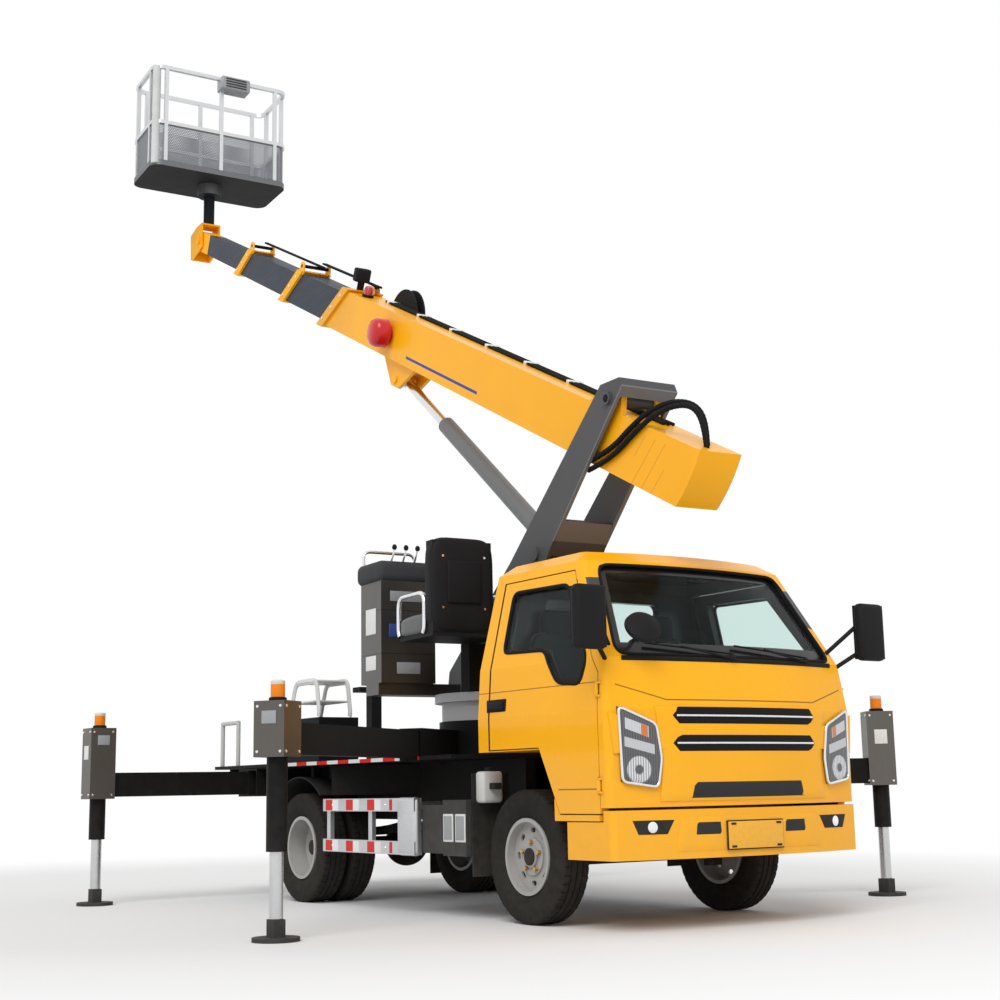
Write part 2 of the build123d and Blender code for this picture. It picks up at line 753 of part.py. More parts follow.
with BuildPart() as deck:
    with Locations((at((deck_front + deck_rear) / 2), 0, deck_under)):
        Box(deck_front - deck_rear, 2 * deck_half, deck_plate, align=on_floor)
    with Locations((at(slew_x), 0, deck_under)):
        Cylinder(pedestal_radius, deck_plate, align=on_floor, mode=Mode.SUBTRACT)
    for name, fx, fy, hx, hy, bottom, start, end, inner_end in outriggers:
        with BuildSketch(beam_plane(fx, fy, hx, hy, bottom, start - 60)):
            Rectangle(beam_width + 2 * (slide_gap + housing_wall), beam_height + 2 * (slide_gap + housing_wall))
        extrude(amount=end - start + 120, mode=Mode.SUBTRACT)
save(deck.part, "deck")

jack_top = leg_top - leg_sheet - seat_gap
rod_top = 880
for name, fx, fy, hx, hy, bottom, start, end, inner_end in outriggers:
    with BuildPart() as beam:
        with BuildSketch(beam_plane(fx, fy, hx, hy, bottom, 0)):
            Rectangle(beam_width, beam_height)
        extrude(amount=inner_end)
        with Locations((at(fx), fy, jack_bottom)):
            Cylinder(jack_radius, jack_top - jack_bottom, align=on_floor)
            Cylinder(jack_rod + running_gap, jack_top - jack_bottom - 8, align=on_floor, mode=Mode.SUBTRACT)
    save(beam.part, f"outrigger_beam_{name}")
    leg_bottom = bottom - beam_bottom_drop
    leg_plane = Plane(origin=(at(fx), fy, leg_bottom), x_dir=(hx, hy, 0), z_dir=(0, 0, 1))
    with BuildPart() as cover:
        with BuildSketch(leg_plane):
            Rectangle(leg_size, leg_size)
        extrude(amount=leg_top - leg_bottom)
        with BuildSketch(leg_plane):
            Rectangle(leg_size - 2 * leg_sheet, leg_size - 2 * leg_sheet)
        extrude(amount=leg_top - leg_bottom - leg_sheet, mode=Mode.SUBTRACT)
        with BuildSketch(beam_plane(fx, fy, hx, hy, bottom, 0)):
            Rectangle(beam_width + 2 * seat_gap, beam_height + 2 * seat_gap)
        extrude(amount=leg_size, mode=Mode.SUBTRACT)
        with Locations((at(fx), fy, leg_top)):
            Cylinder(40, 110, align=on_floor)
    save(cover.part, f"leg_cover_{name}")
    with BuildPart() as jack:
        with Locations((at(fx), fy, 0)):
            Cylinder(foot_radius, 22, align=on_floor)
            Box(90, 70, 115, align=on_floor)
            Cylinder(jack_rod, rod_top, align=on_floor)
    save(jack.part, f"jack_{name}")

# Deck fittings: boom rest post, tool box with its bracket, and a grab rail
rest_x, rest_top = -3300, 1600
with BuildPart() as deck_fittings:
    with Locations((at(rest_x), 0, deck_top)):
        Box(90, 90, rest_top - deck_top - 40, align=on_floor)
    with Locations((at(rest_x), 0, rest_top - 40)):
        Box(120, 320, 40, align=on_floor)
    with Locations((at(-2950), -640, deck_top)):
        Box(520, 330, 330, align=on_floor)
    for x in (-4180, -3880):
        with Locations((at(x), -deck_half + 40, deck_top)):
            Cylinder(17, 350, align=on_floor)
    plane, length = along((at(-4180), -deck_half + 40, deck_top + 340), (at(-3880), -deck_half + 40, deck_top + 340))
    with BuildSketch(plane):
        Circle(17)
    extrude(amount=length)
save(deck_fittings.part, "deck_fittings")

# Upper works. The boom points back along the truck, turned a little to the left.
back = Vector(-cos(radians(slew_rest)), sin(radians(slew_rest)), 0)
left = Vector(sin(radians(slew_rest)), cos(radians(slew_rest)), 0)
slew_centre = Vector(at(slew_x), 0, 0)
upper = Plane(origin=slew_centre, x_dir=back, z_dir=left)
pivot = upper.from_local_coords((pivot_s, pivot_z, 0))
rise = radians(elevation)
boom = Plane(origin=pivot, x_dir=back * cos(rise) + Vector(0, 0, sin(rise)), z_dir=left)


def on_boom(t, n, across=0):
    """A point given along the boom, up from its pivot line and across to the left."""
    return boom.from_local_coords((t, n, across))


turret_bottom = pedestal_top + seat_gap
turret_top = pedestal_top + ring_height + 40
column_outline = (
    (-330, turret_top), (380, turret_top), (340, turret_top + 180), (-565, 2297), (-1720, 3262), (-1930, 3262),
    (-1960, 3200), (-1100, 2343),
)
web_from, web_to = Vector(-1045, 2275), Vector(-1225, 2475)
top_bar = ((-127, 107), (-75, 107), (-75, 91), (-118, 91), (-139, 48), (-93, 2), (-105, -9), (-157, 45))
with BuildPart() as turret_column:
    with Locations((at(slew_x), 0, turret_bottom)):
        Cylinder(pedestal_radius - 20, ring_height - 20, align=on_floor)
    with Locations((at(slew_x), 0, turret_bottom + ring_height - 20)):
        Cylinder(pedestal_radius + 30, turret_top - turret_bottom - ring_height + 20, align=on_floor)
    for d in (-1, 1):
        with BuildSketch(upper.offset(d * (column_half - column_plate / 2))):
            Polygon(*column_outline, align=None)
        extrude(amount=column_plate / 2, both=True)
        with BuildSketch(upper.offset(d * (lift_barrel_radius + moving_gap))):
            with Locations((lift_base_s, lift_base_z)):
                Circle(48)
        extrude(amount=d * (column_half - lift_barrel_radius - moving_gap + 18))
    with BuildSketch(upper):
        with Locations((pivot_s, pivot_z)):
            Circle(pivot_pin)
    extrude(amount=column_half + 20, both=True)
    with BuildSketch(upper):
        Polygon(web_from, web_to, web_to + Vector(20, 18), web_from + Vector(20, 18), align=None)
        Polygon(*[(pivot_s + s, pivot_z + z) for s, z in top_bar], align=None)
        Polygon((-300, turret_top), (340, turret_top), (330, turret_top + 90), (-260, turret_top + 90), align=None)
    extrude(amount=column_half - column_plate, both=True)
save(turret_column.part, "turret_column")

# Operator's station on the turret's right: a console and a seat facing the rear
station_out = 640
console_wide = 420
console_inner = station_out - console_wide / 2
plate_z = turret_top + 330
plate_wide = 560
with BuildPart() as control_console:
    with Locations(Plane(origin=upper.from_local_coords((300, 0, -station_out)), x_dir=back, z_dir=(0, 0, 1))):
        with Locations((0, 0, turret_top + 80)):
            Box(330, console_wide, 760, align=on_floor)
        with Locations((-20, (column_half - console_inner) / 2 - console_wide / 2, turret_top)):
            Box(200, console_inner - column_half, 80, align=on_floor)
        with Locations((-20, 0, turret_top)):
            Box(200, console_wide, 80, align=on_floor)
save(control_console.part, "control_console")
with BuildPart() as operator_seat:
    with Locations(Plane(origin=upper.from_local_coords((-420, 0, -station_out)), x_dir=back, z_dir=(0, 0, 1))):
        with Locations((0, -60, plate_z)):
            Box(480, plate_wide, 30, align=on_floor)
        with Locations((30, 0, plate_z + 30)):
            Box(420, 440, 110, align=on_floor)
        with Locations((-200, 0, plate_z + 30)):
            Box(90, 440, 600, align=on_floor)
        with Locations((200, -330, turret_top)):
            Box(120, 150, plate_z - turret_top, align=on_floor)
save(operator_seat.part, "operator_seat")

# Boom. Each section is a box that slides in the one before it, with a slanted collar at its head.
# Columns: name, tail t, head t at the top edge, width, height, wall
head_top = 4560
boom_sections = (
    ("boom_second", 330, 5750, 252, 312, 9),
    ("boom_third", 1650, 7260, 212, 264, 9),
    ("boom_fourth", 3150, tip_pin_t, 172, 218, 9),
)


def slanted_band(head, height, lip):
    """A collar's side view: a band square to nothing, its lower edge set further out."""
    top = boom_axis_n + height / 2 + lip
    low = boom_axis_n - height / 2 - lip
    reach = head_slant * height
    return ((head - collar_length, top), (head, top), (head + reach, low), (head + reach - collar_length, low))


def section_bore(start, end, width, height, clear):
    """The straight passage for an inner section, with the given clearance all round."""
    with BuildPart() as bore:
        plane, length = along(on_boom(start, boom_axis_n), on_boom(end, boom_axis_n))
        with BuildSketch(Plane(origin=plane.origin, x_dir=left, z_dir=plane.z_dir)):
            Rectangle(width + 2 * clear, height + 2 * clear)
        extrude(amount=length)
    return bore.part


lug_y = lift_barrel_radius + moving_gap + 16
top_n = boom_axis_n + boom_height / 2
low_n = boom_axis_n - boom_height / 2
head_low = head_top + head_slant * boom_height
far_end = 12000
with BuildPart() as boom_main:
    with BuildSketch(boom):
        with BuildLine():
            Line((-sqrt(tail_radius**2 - top_n**2), top_n), (head_top, top_n))
            Line((head_top, top_n), (head_low, low_n))
            Line((head_low, low_n), (-sqrt(tail_radius**2 - low_n**2), low_n))
            ThreePointArc((-sqrt(tail_radius**2 - low_n**2), low_n),
                          (-sqrt(tail_radius**2 - boom_axis_n**2), boom_axis_n),
                          (-sqrt(tail_radius**2 - top_n**2), top_n))
        make_face()
    extrude(amount=boom_width / 2, both=True)
    with BuildSketch(boom):
        Polygon(*slanted_band(head_top, boom_height, collar_lip), align=None)
    extrude(amount=boom_width / 2 + collar_lip, both=True)
    add(section_bore(-800, head_top - collar_length - 60, boom_width - 2 * boom_wall,
                     boom_height - 2 * boom_wall, 0), mode=Mode.SUBTRACT)
    add(section_bore(-800, far_end, 252, 312, seat_gap), mode=Mode.SUBTRACT)
    for d in (-1, 1):
        with BuildSketch(boom.offset(d * (boom_width / 2 - 20))):
            Polygon((-90, top_n - 10), (330, top_n - 10), (55, 60), (-45, 60), align=None)
        extrude(amount=20, both=True)
        with BuildSketch(boom.offset(d * lug_y)):
            Polygon((lift_eye_t - 320, low_n + 5), (lift_eye_t + 320, low_n + 5), (lift_eye_t + 70, lift_eye_n - 60),
                    (lift_eye_t - 70, lift_eye_n - 60), align=None)
        extrude(amount=14, both=True)
    with BuildSketch(boom):
        with Locations((lift_eye_t, lift_eye_n)):
            Circle(lift_pin)
    extrude(amount=lug_y + 28, both=True)
    with BuildSketch(boom):
        Circle(pivot_pin + seat_gap)
    extrude(amount=boom_width, both=True, mode=Mode.SUBTRACT)
save(boom_main.part, "boom_main")

for i, (name, tail, head, width, height, wall) in enumerate(boom_sections):
    last = i + 1 == len(boom_sections)
    top, low = boom_axis_n + height / 2, boom_axis_n - height / 2
    with BuildPart() as section:
        with BuildSketch(boom):
            if last:
                with BuildLine():
                    Polyline((head, low), (tail, low), (tail, top), (head, top))
                    ThreePointArc((head, top), (head + height / 2, boom_axis_n), (head, low))
                make_face()
            else:
                Polygon((tail, low), (tail, top), (head, top), (head + head_slant * height, low), align=None)
        extrude(amount=width / 2, both=True)
        if last:
            add(section_bore(tail, head - 200, width - 2 * wall, height - 2 * wall, 0), mode=Mode.SUBTRACT)
            with BuildSketch(boom):
                with Locations((head, boom_axis_n)):
                    Circle(pivot_pin)
            extrude(amount=width / 2 + 45, both=True)
        else:
            inner_width, inner_height = boom_sections[i + 1][3:5]
            with BuildSketch(boom):
                Polygon(*slanted_band(head, height, collar_lip), align=None)
            extrude(amount=width / 2 + collar_lip, both=True)
            add(section_bore(tail, head - collar_length - 60, width - 2 * wall, height - 2 * wall, 0),
                mode=Mode.SUBTRACT)
            add(section_bore(tail, far_end, inner_width, inner_height, seat_gap), mode=Mode.SUBTRACT)
    save(section.part, name)

# Lift cylinder: the rod's eye on the boom's bracket, the barrel's base eye in the column
eye = on_boom(lift_eye_t, lift_eye_n)
base = upper.from_local_coords((lift_base_s, lift_base_z, 0))
lift_plane, lift_length = along(eye, base)
lift_axis = Plane(origin=eye, x_dir=left, z_dir=lift_plane.z_dir)
rod_length = 2030
with BuildPart() as lift_rod:
    with BuildSketch(lift_axis):
        Circle(lift_rod_radius)
    extrude(amount=rod_length)
    with BuildSketch(Plane(origin=eye, x_dir=back, z_dir=left)):
        Circle(62)
    extrude(amount=54, both=True)
    with BuildSketch(Plane(origin=eye, x_dir=back, z_dir=left)):
        Circle(lift_pin + running_gap)
    extrude(amount=60, both=True, mode=Mode.SUBTRACT)
save(lift_rod.part, "lift_rod")

gland = lift_length - lift_barrel_length
with BuildPart() as lift_barrel:
    with BuildSketch(lift_axis.offset(gland)):
        Circle(lift_barrel_radius)
    extrude(amount=lift_barrel_length - 60)
    with BuildSketch(Plane(origin=base, x_dir=back, z_dir=left)):
        Circle(72)
    extrude(amount=58, both=True)
    with BuildSketch(lift_axis.offset(gland + 70)):
        Circle(lift_rod_radius + 12)
    extrude(amount=lift_barrel_length - 70 - 110, mode=Mode.SUBTRACT)
    with BuildSketch(lift_axis.offset(gland - 10)):
        Circle(lift_rod_radius + running_gap)
    extrude(amount=200, mode=Mode.SUBTRACT)
    with BuildSketch(Plane(origin=base, x_dir=back, z_dir=left)):
        Circle(40)
    extrude(amount=70, both=True, mode=Mode.SUBTRACT)
save(lift_barrel.part, "lift_barrel")

# Basket carrier: cheeks on the boom's tip pin, a base plate and the post that the basket turns on
tip = on_boom(tip_pin_t, boom_axis_n)
tip_width = boom_sections[-1][3]
carrier_plane = Plane(origin=tip, x_dir=back, z_dir=left)
cheek_in = tip_width / 2 + moving_gap
with BuildPart() as basket_carrier:
    for d in (-1, 1):
        with BuildSketch(carrier_plane.offset(d * (cheek_in + 8))):
            Polygon((-80, -90), (250, -150), (290, 150), (100, 190), (-80, 190), align=None)
        extrude(amount=8, both=True)
    with BuildSketch(carrier_plane):
        Polygon((-80, 172), (105, 172), (105, 190), (-80, 190), align=None)
        Polygon((262, -140), (278, -140), (296, 140), (280, 140), align=None)
    extrude(amount=cheek_in + 16, both=True)
    with BuildSketch(carrier_plane):
        Circle(pivot_pin + seat_gap)
    extrude(amount=cheek_in + 40, both=True, mode=Mode.SUBTRACT)
    with Locations(tip + Vector(0, 0, 185)):
        Cylinder(post_radius, basket_rise - 185 - 40, align=on_floor)
save(basket_carrier.part, "basket_carrier")

# Basket: floor on a turning socket, posts and rails, and panels between them
basket_plane = Plane(origin=tip + Vector(0, 0, basket_rise), x_dir=back, z_dir=(0, 0, 1))
floor_height = 60
socket_radius = 130
with BuildPart() as basket_floor:
    with BuildSketch(basket_plane):
        RectangleRounded(basket_deep, basket_long, 120)
    extrude(amount=floor_height)
    with BuildSketch(basket_plane):
        Circle(socket_radius)
    extrude(amount=-120)
    with BuildSketch(basket_plane.offset(-120)):
        Circle(post_radius + seat_gap)
    extrude(amount=80 + seat_gap, mode=Mode.SUBTRACT)
save(basket_floor.part, "basket_floor")

rail_long = basket_long - basket_tube
rail_deep = basket_deep - basket_tube
with BuildPart() as basket_frame:
    for z in (420, basket_high - basket_tube):
        with BuildSketch(basket_plane.offset(floor_height + z)):
            RectangleRounded(basket_deep, basket_long, 110)
            RectangleRounded(basket_deep - 2 * basket_tube, basket_long - 2 * basket_tube, 80, mode=Mode.SUBTRACT)
        extrude(amount=basket_tube)
    with BuildSketch(basket_plane.offset(floor_height)):
        with Locations(*[(x * rail_deep / 2, y * (rail_long / 2 - 130)) for x in (-1, 1) for y in (-1, 1)]):
            Rectangle(basket_tube, basket_tube)
        with Locations(*[(x * rail_deep / 2, 0) for x in (-1, 1)]):
            Rectangle(basket_tube, basket_tube)
        with Locations(*[(x * (rail_deep / 2 - 130), y * rail_long / 2) for x in (-1, 1) for y in (-1, 1)]):
            Rectangle(basket_tube, basket_tube)
    extrude(amount=basket_high)
save(basket_frame.part, "basket_frame")
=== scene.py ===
"""Looks of a cherry picker truck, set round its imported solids."""

import math

import bpy
import numpy as np
from mathutils import Matrix, Vector
from mathutils.bvhtree import BVHTree


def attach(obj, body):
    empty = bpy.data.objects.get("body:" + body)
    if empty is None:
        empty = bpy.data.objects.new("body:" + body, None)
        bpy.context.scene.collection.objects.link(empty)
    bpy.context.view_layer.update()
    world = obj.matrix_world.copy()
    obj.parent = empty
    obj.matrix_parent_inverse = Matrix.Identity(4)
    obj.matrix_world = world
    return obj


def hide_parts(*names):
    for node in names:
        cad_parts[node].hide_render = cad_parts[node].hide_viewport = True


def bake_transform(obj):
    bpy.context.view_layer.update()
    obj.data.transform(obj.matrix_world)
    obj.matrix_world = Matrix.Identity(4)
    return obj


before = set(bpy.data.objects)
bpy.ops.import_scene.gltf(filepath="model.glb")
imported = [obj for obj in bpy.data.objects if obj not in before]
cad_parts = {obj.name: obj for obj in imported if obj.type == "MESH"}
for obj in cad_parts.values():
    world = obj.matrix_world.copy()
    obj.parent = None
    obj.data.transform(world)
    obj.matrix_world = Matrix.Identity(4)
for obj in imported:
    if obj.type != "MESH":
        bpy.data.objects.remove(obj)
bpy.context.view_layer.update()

bl_info = {
    "name": "Cherry picker truck",
    "version": (1, 0, 0),
    "blender": (4, 5, 0),
    "location": "3D View > Sidebar > Cherry picker",
    "description": "Finishes and small pieces of a cherry picker truck",
    "category": "Object",
}

# Sizes that several pieces share. A collar has its head's place along the boom, its height and half its width.
axle_x, rear_axle, wheel_radius = 3.563, -2.8, 0.388
boom_middle, boom_top, collar_lip, collar_slant = -0.259, -0.074, 0.022, 1.2
collars = {"main": (4.560, 0.370, 0.172), "second": (5.750, 0.312, 0.148), "third": (7.260, 0.264, 0.128)}

# Frames, each an origin and three axes. Truck: forward, left and up from the front axle's place on the ground.
# Upper works: back along the boom, left and up from the slew axis. Boom: along, up from and left of its pivot line.
# Basket: back, right and up from the top of its floor.
turn, rise = math.radians(4), math.radians(26)
up = np.array([0.0, 0.0, 1.0])
back = np.array([-math.cos(turn), math.sin(turn), 0.0])
left = np.array([math.sin(turn), math.cos(turn), 0.0])
boom_along = back * math.cos(rise) + up * math.sin(rise)
boom_up = up * math.cos(rise) - back * math.sin(rise)
truck = (np.array([axle_x, 0.0, 0.0]), np.eye(3))
upper = (np.array([2.063, 0.0, 0.0]), np.array([back, left, up]))
boom = (upper[0] - 1.803 * back + 3.155 * up, np.array([boom_along, boom_up, left]))
tip = boom[0] + 8.95 * boom_along + boom_middle * boom_up
basket = (tip + 0.715 * up, np.array([back, -left, up]))
sides = (("right", -1), ("left", 1))
legs = ("front_right", "front_left", "rear_right", "rear_left")


def put(place, points):
    """Points in a frame's own coordinates, as points of the whole model: the origin plus each share of an axis."""
    return place[0] + np.asarray(points, float) @ place[1]


def rows(*columns):
    """Columns of numbers, spread to one shape and set side by side as points."""
    return np.stack(np.broadcast_arrays(*columns), -1).astype(float)


# Lines


def dense(corners, step=None, count=None):
    """A line of corners as points at even distances along it, by the length of a step or by their count."""
    corners = np.asarray(corners, float)
    length = np.concatenate([[0], np.cumsum(np.linalg.norm(np.diff(corners, axis=0), axis=1))])
    at = np.linspace(0, length[-1], count or max(2, int(length[-1] / step) + 1))
    return np.stack([np.interp(at, length, column) for column in corners.T], -1)


def rounded(corners, radius, steps=5):
    """An outline with soft corners: at each, a curve of second degree from one side to the next."""
    corners = np.asarray(corners, float)
    before, after = np.roll(corners, 1, 0) - corners, np.roll(corners, -1, 0) - corners
    long_before, long_after = (np.linalg.norm(v, axis=1, keepdims=True) for v in (before, after))
    reach = np.minimum(radius, 0.45 * np.minimum(long_before, long_after))
    start, end = corners + before / long_before * reach, corners + after / long_after * reach
    t = np.linspace(0, 1, steps)[None, :, None]
    curve = (1 - t) ** 2 * start[:, None] + 2 * t * (1 - t) * corners[:, None] + t**2 * end[:, None]
    return curve.reshape(-1, curve.shape[-1])


def loop(corners, radius, step, steps=5):
    """A closed outline with soft corners, as points at even steps."""
    line = rounded(corners, radius, steps)
    return dense(np.vstack([line, line[:1]]), step)[:-1]


def arch(corners, radius, steps=7):
    """An open line with soft corners: an outline without its closing side and the outer halves of its end curves."""
    return rounded(corners, radius, steps)[steps // 2 : -(steps // 2)]


def ring(radius, count=12):
    """A round profile: the cosine and the sine of evenly spaced angles, times the radius."""
    angle = np.arange(count) * 2 * np.pi / count
    return rows(radius * np.cos(angle), radius * np.sin(angle))


# Shapes: each is a grid of points with closed ends, turned so that its faces look outwards


def grid(points, round_rows=False, ends=True):
    """A grid of points as one skin, round from column to column: quads between neighbours, and one face over each
    open end. The faces turn round where the volume inside, summed over the faces, comes out below zero."""
    count, wide = points.shape[:2]
    i, j = np.meshgrid(np.arange(count - (not round_rows)), np.arange(wide), indexing="ij")
    down, across = (i + 1) % count, (j + 1) % wide
    quads = np.stack([i * wide + j, i * wide + across, down * wide + across, down * wide + j], -1).reshape(-1, 4)
    flat = points.reshape(-1, 3)
    middle = flat.mean(0)
    a, b, c, d = (flat[quads[:, k]] - middle for k in range(4))
    volume = np.einsum("ij,ij->", a, np.cross(b, c)) + np.einsum("ij,ij->", a, np.cross(c, d))
    faces = quads.tolist()
    if ends and not round_rows:
        faces += [list(range(wide))[::-1], list(range((count - 1) * wide, count * wide))]
        for face in faces[-2:]:
            rim = flat[face] - middle
            volume += float(np.einsum("j,ij->", rim[0], np.cross(rim[1:-1], rim[2:])))
    if volume < 0:
        faces = [face[::-1] for face in faces]
    return flat, faces


def carried(path, profile, closed=False):
    """A profile carried along a path: each point of the path plus the profile's two shares of the directions
    square to the run, the second of them the direction in which the path as a whole is flattest."""
    path, profile = np.asarray(path, float), np.asarray(profile, float)
    flat = np.linalg.svd(path - path.mean(0))[2][-1]
    run = np.roll(path, -1, 0) - np.roll(path, 1, 0) if closed else np.gradient(path, axis=0)
    run /= np.linalg.norm(run, axis=1, keepdims=True)
    side = np.cross(run, flat)
    side /= np.linalg.norm(side, axis=1, keepdims=True)
    other = np.cross(run, side)
    points = path[:, None] + profile[..., 0, None] * side[:, None] + profile[..., 1, None] * other[:, None]
    return grid(points, round_rows=closed)


def tube(path, radius, count=12, closed=False):
    """A round bar along a path."""
    return carried(path, ring(radius, count), closed)


def turned(profile, origin, axis, count=32):
    """A profile of places along an axis and radii, turned about that axis: radius times cosine and sine."""
    axis = np.asarray(axis, float) / np.linalg.norm(axis)
    first = np.cross(axis, up if abs(axis[2]) < 0.9 else (1.0, 0.0, 0.0))
    first /= np.linalg.norm(first)
    circle = ring(1.0, count) @ np.array([first, np.cross(axis, first)])
    profile = np.asarray(profile, float)
    return grid(np.asarray(origin) + profile[:, :1, None] * axis + profile[:, 1:, None] * circle)


def nut(origin, axis, radius, high):
    """A nut or a bolt's head with a chamfered crown."""
    return turned([(0, radius), (0.7 * high, radius), (high, 0.8 * radius)], origin, axis, 6)


def soft_box(centre, half, radius, axes=np.eye(3), steps=4):
    """A box with round edges: a ball's grid, split at its middle planes, with each eighth moved out to its corner."""
    half, radius = np.asarray(half, float), min(radius, 0.999 * float(min(half)))
    quarter, turns = np.linspace(0, np.pi / 2, steps), np.arange(4) * np.pi / 2
    angle = (turns[:, None] + quarter).ravel()
    lift = np.concatenate([quarter - np.pi / 2, quarter])[:, None]
    middle = np.repeat(turns + np.pi / 4, steps)[None]
    ball = rows(np.cos(lift) * np.cos(angle), np.cos(lift) * np.sin(angle), np.sin(lift))
    corner = rows(np.sign(np.cos(middle)), np.sign(np.sin(middle)), np.repeat((-1.0, 1.0), steps)[:, None])
    return grid(np.asarray(centre) + (ball * radius + corner * (half - radius)) @ np.asarray(axes))


def cushion(centre, half, axes, crown, seams=3, count=28):
    """A crowned pad: a ball's grid squared off by a low power of its sines and cosines, swollen above by the product
    of two arches and drawn in along sewn channels."""
    angle = np.linspace(0, 2 * np.pi, 2 * count, endpoint=False)
    lift = np.linspace(-np.pi / 2, np.pi / 2, count)[:, None]

    def squared(v, power):
        return np.sign(v) * np.abs(v) ** power

    wide = squared(np.cos(lift), 0.4)
    x, y = wide * squared(np.cos(angle), 0.35), wide * squared(np.sin(angle), 0.35)
    z = squared(np.sin(lift), 0.4) * np.ones_like(angle)
    swell = (1 - x**2) * (1 - y**2)
    channel = np.exp(-((np.mod(x * seams / 2 + 0.5, 1.0) - 0.5) / 0.05) ** 2)
    z = z + np.where(z > 0, crown * (swell - 0.25 * channel * (1 - y**2)) / half[2], 0)
    return grid(np.asarray(centre) + (rows(x, y, z) * half) @ np.asarray(axes))


def slab(outline, place, start, thickness):
    """A flat outline in a frame's first two axes, given a thickness along its third from a start."""
    return grid(np.stack([put(place, rows(*outline.T, level)) for level in (start, start + thickness)]))


cab_levels = np.array([0.6, 1.2, 1.49, 2.08, 2.145])
cab_sizes = np.array([
    (0.930, 0.950, 1.045), (0.935, 0.950, 1.060), (0.915, 0.905, 1.000), (0.775, 0.560, 0.650), (0.690, 0.470, 0.560),
])


def bowed(y, z, out, half, corner, middle):
    """A point on an arc across the truck through two corners and a middle, moved forward."""
    chord, bow = half - 0.045, middle - corner
    radius = (chord**2 + bow**2) / (2 * bow)
    return put(truck, rows(middle - radius + np.sqrt(radius**2 - np.square(y)) + out, y, z))


def nose(y, z, out=0.0):
    """A point on the cab's bowed front at a height: the arc through both corners and the middle, moved forward."""
    return bowed(y, z, out, *(np.interp(z, cab_levels, column) for column in cab_sizes.T))


def bar_face(y, z, out=0.0):
    """A point on the bumper's bowed front."""
    return bowed(y, z, out, 0.925, 0.965, 1.062)


def flank(x, z, side, out=0.0):
    """A point on the cab's side wall at a height."""
    return put(truck, rows(x, side * (np.interp(z, cab_levels, cab_sizes[:, 0]) + out), z))


def panel(face, first, last, low, high, count):
    """A thin panel on a bowed face: straight rows between two edge lines, in front at one height over the face and
    behind at another, so that the whole is a closed loop carried from row to row."""
    first = dense(first, 0.02)
    last = dense(last, count=len(first))
    u = np.linspace(0, 1, count)[None, :, None]
    flat = first[:, None] * (1 - u) + last[:, None] * u
    lift = np.full(flat.shape[:2], 0.6 * high + 0.4 * low)
    lift[1:-1, 1:-1] = high
    front, behind = (face(flat[..., 0], flat[..., 1], out) for out in (lift, low))
    return grid(np.concatenate([front, behind[:, ::-1]], 1))


def across_front(face, edge, low, high):
    """A panel across the middle of a face, from an edge line's mirror image to the line."""
    edge = np.asarray(edge, float)
    return panel(face, edge * (-1, 1), edge, low, high, 41)


trees = {}


def touch(node, origin, direction):
    """Where a line from a point first meets a CAD node's surface, and which way that surface faces."""
    if node not in trees:
        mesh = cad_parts[node].data
        trees[node] = BVHTree.FromPolygons([v.co[:] for v in mesh.vertices], [p.vertices[:] for p in mesh.polygons])
    spot, facing = trees[node].ray_cast(Vector(origin), Vector(direction))[:2]
    if spot is None:
        raise RuntimeError(f"nothing of {node} lies that way")
    return np.array(spot), np.array(facing)


class Kit:
    """The shapes of one piece with their finishes. Boxes, bars, nuts and turned shapes take places in its frame."""

    def __init__(self, place=truck):
        self.place, self.parts = place, []

    def add(self, finish, *shapes):
        self.parts += [(finish, *shape) for shape in shapes]

    def box(self, finish, centre, half, radius):
        self.add(finish, soft_box(put(self.place, centre), half, radius, self.place[1]))

    def bar(self, finish, corners, radius, count=10, step=0.012):
        self.add(finish, tube(put(self.place, dense(corners, step)), radius, count))

    def nut(self, finish, centre, axis, radius, high):
        self.add(finish, nut(put(self.place, centre), axis, radius, high))

    def turn(self, finish, centre, axis, profile, count=32):
        self.add(finish, turned(profile, put(self.place, centre), axis, count))

    def make(self, name, body, slot, sharp=40):
        """One mesh from all the shapes, riding on a body."""
        names = list(dict.fromkeys(finish for finish, _, _ in self.parts))
        faces, index, start = [], [], 0
        for finish, flat, polygons in self.parts:
            faces += [[start + k for k in face] for face in polygons]
            index += [names.index(finish)] * len(polygons)
            start += len(flat)
        mesh = bpy.data.meshes.new(name)
        mesh.from_pydata(np.concatenate([flat for _, flat, _ in self.parts]).tolist(), [], faces)
        mesh.polygons.foreach_set("material_index", index)
        mesh.polygons.foreach_set("use_smooth", np.ones(len(faces), bool))
        mesh.set_sharp_from_angle(angle=math.radians(sharp))
        for finish in names:
            mesh.materials.append(material(finish))
        mesh.validate()
        obj = bpy.data.objects.new(name, mesh)
        bpy.context.scene.collection.objects.link(obj)
        if body:
            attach(obj, body)
        return obj


# Finishes


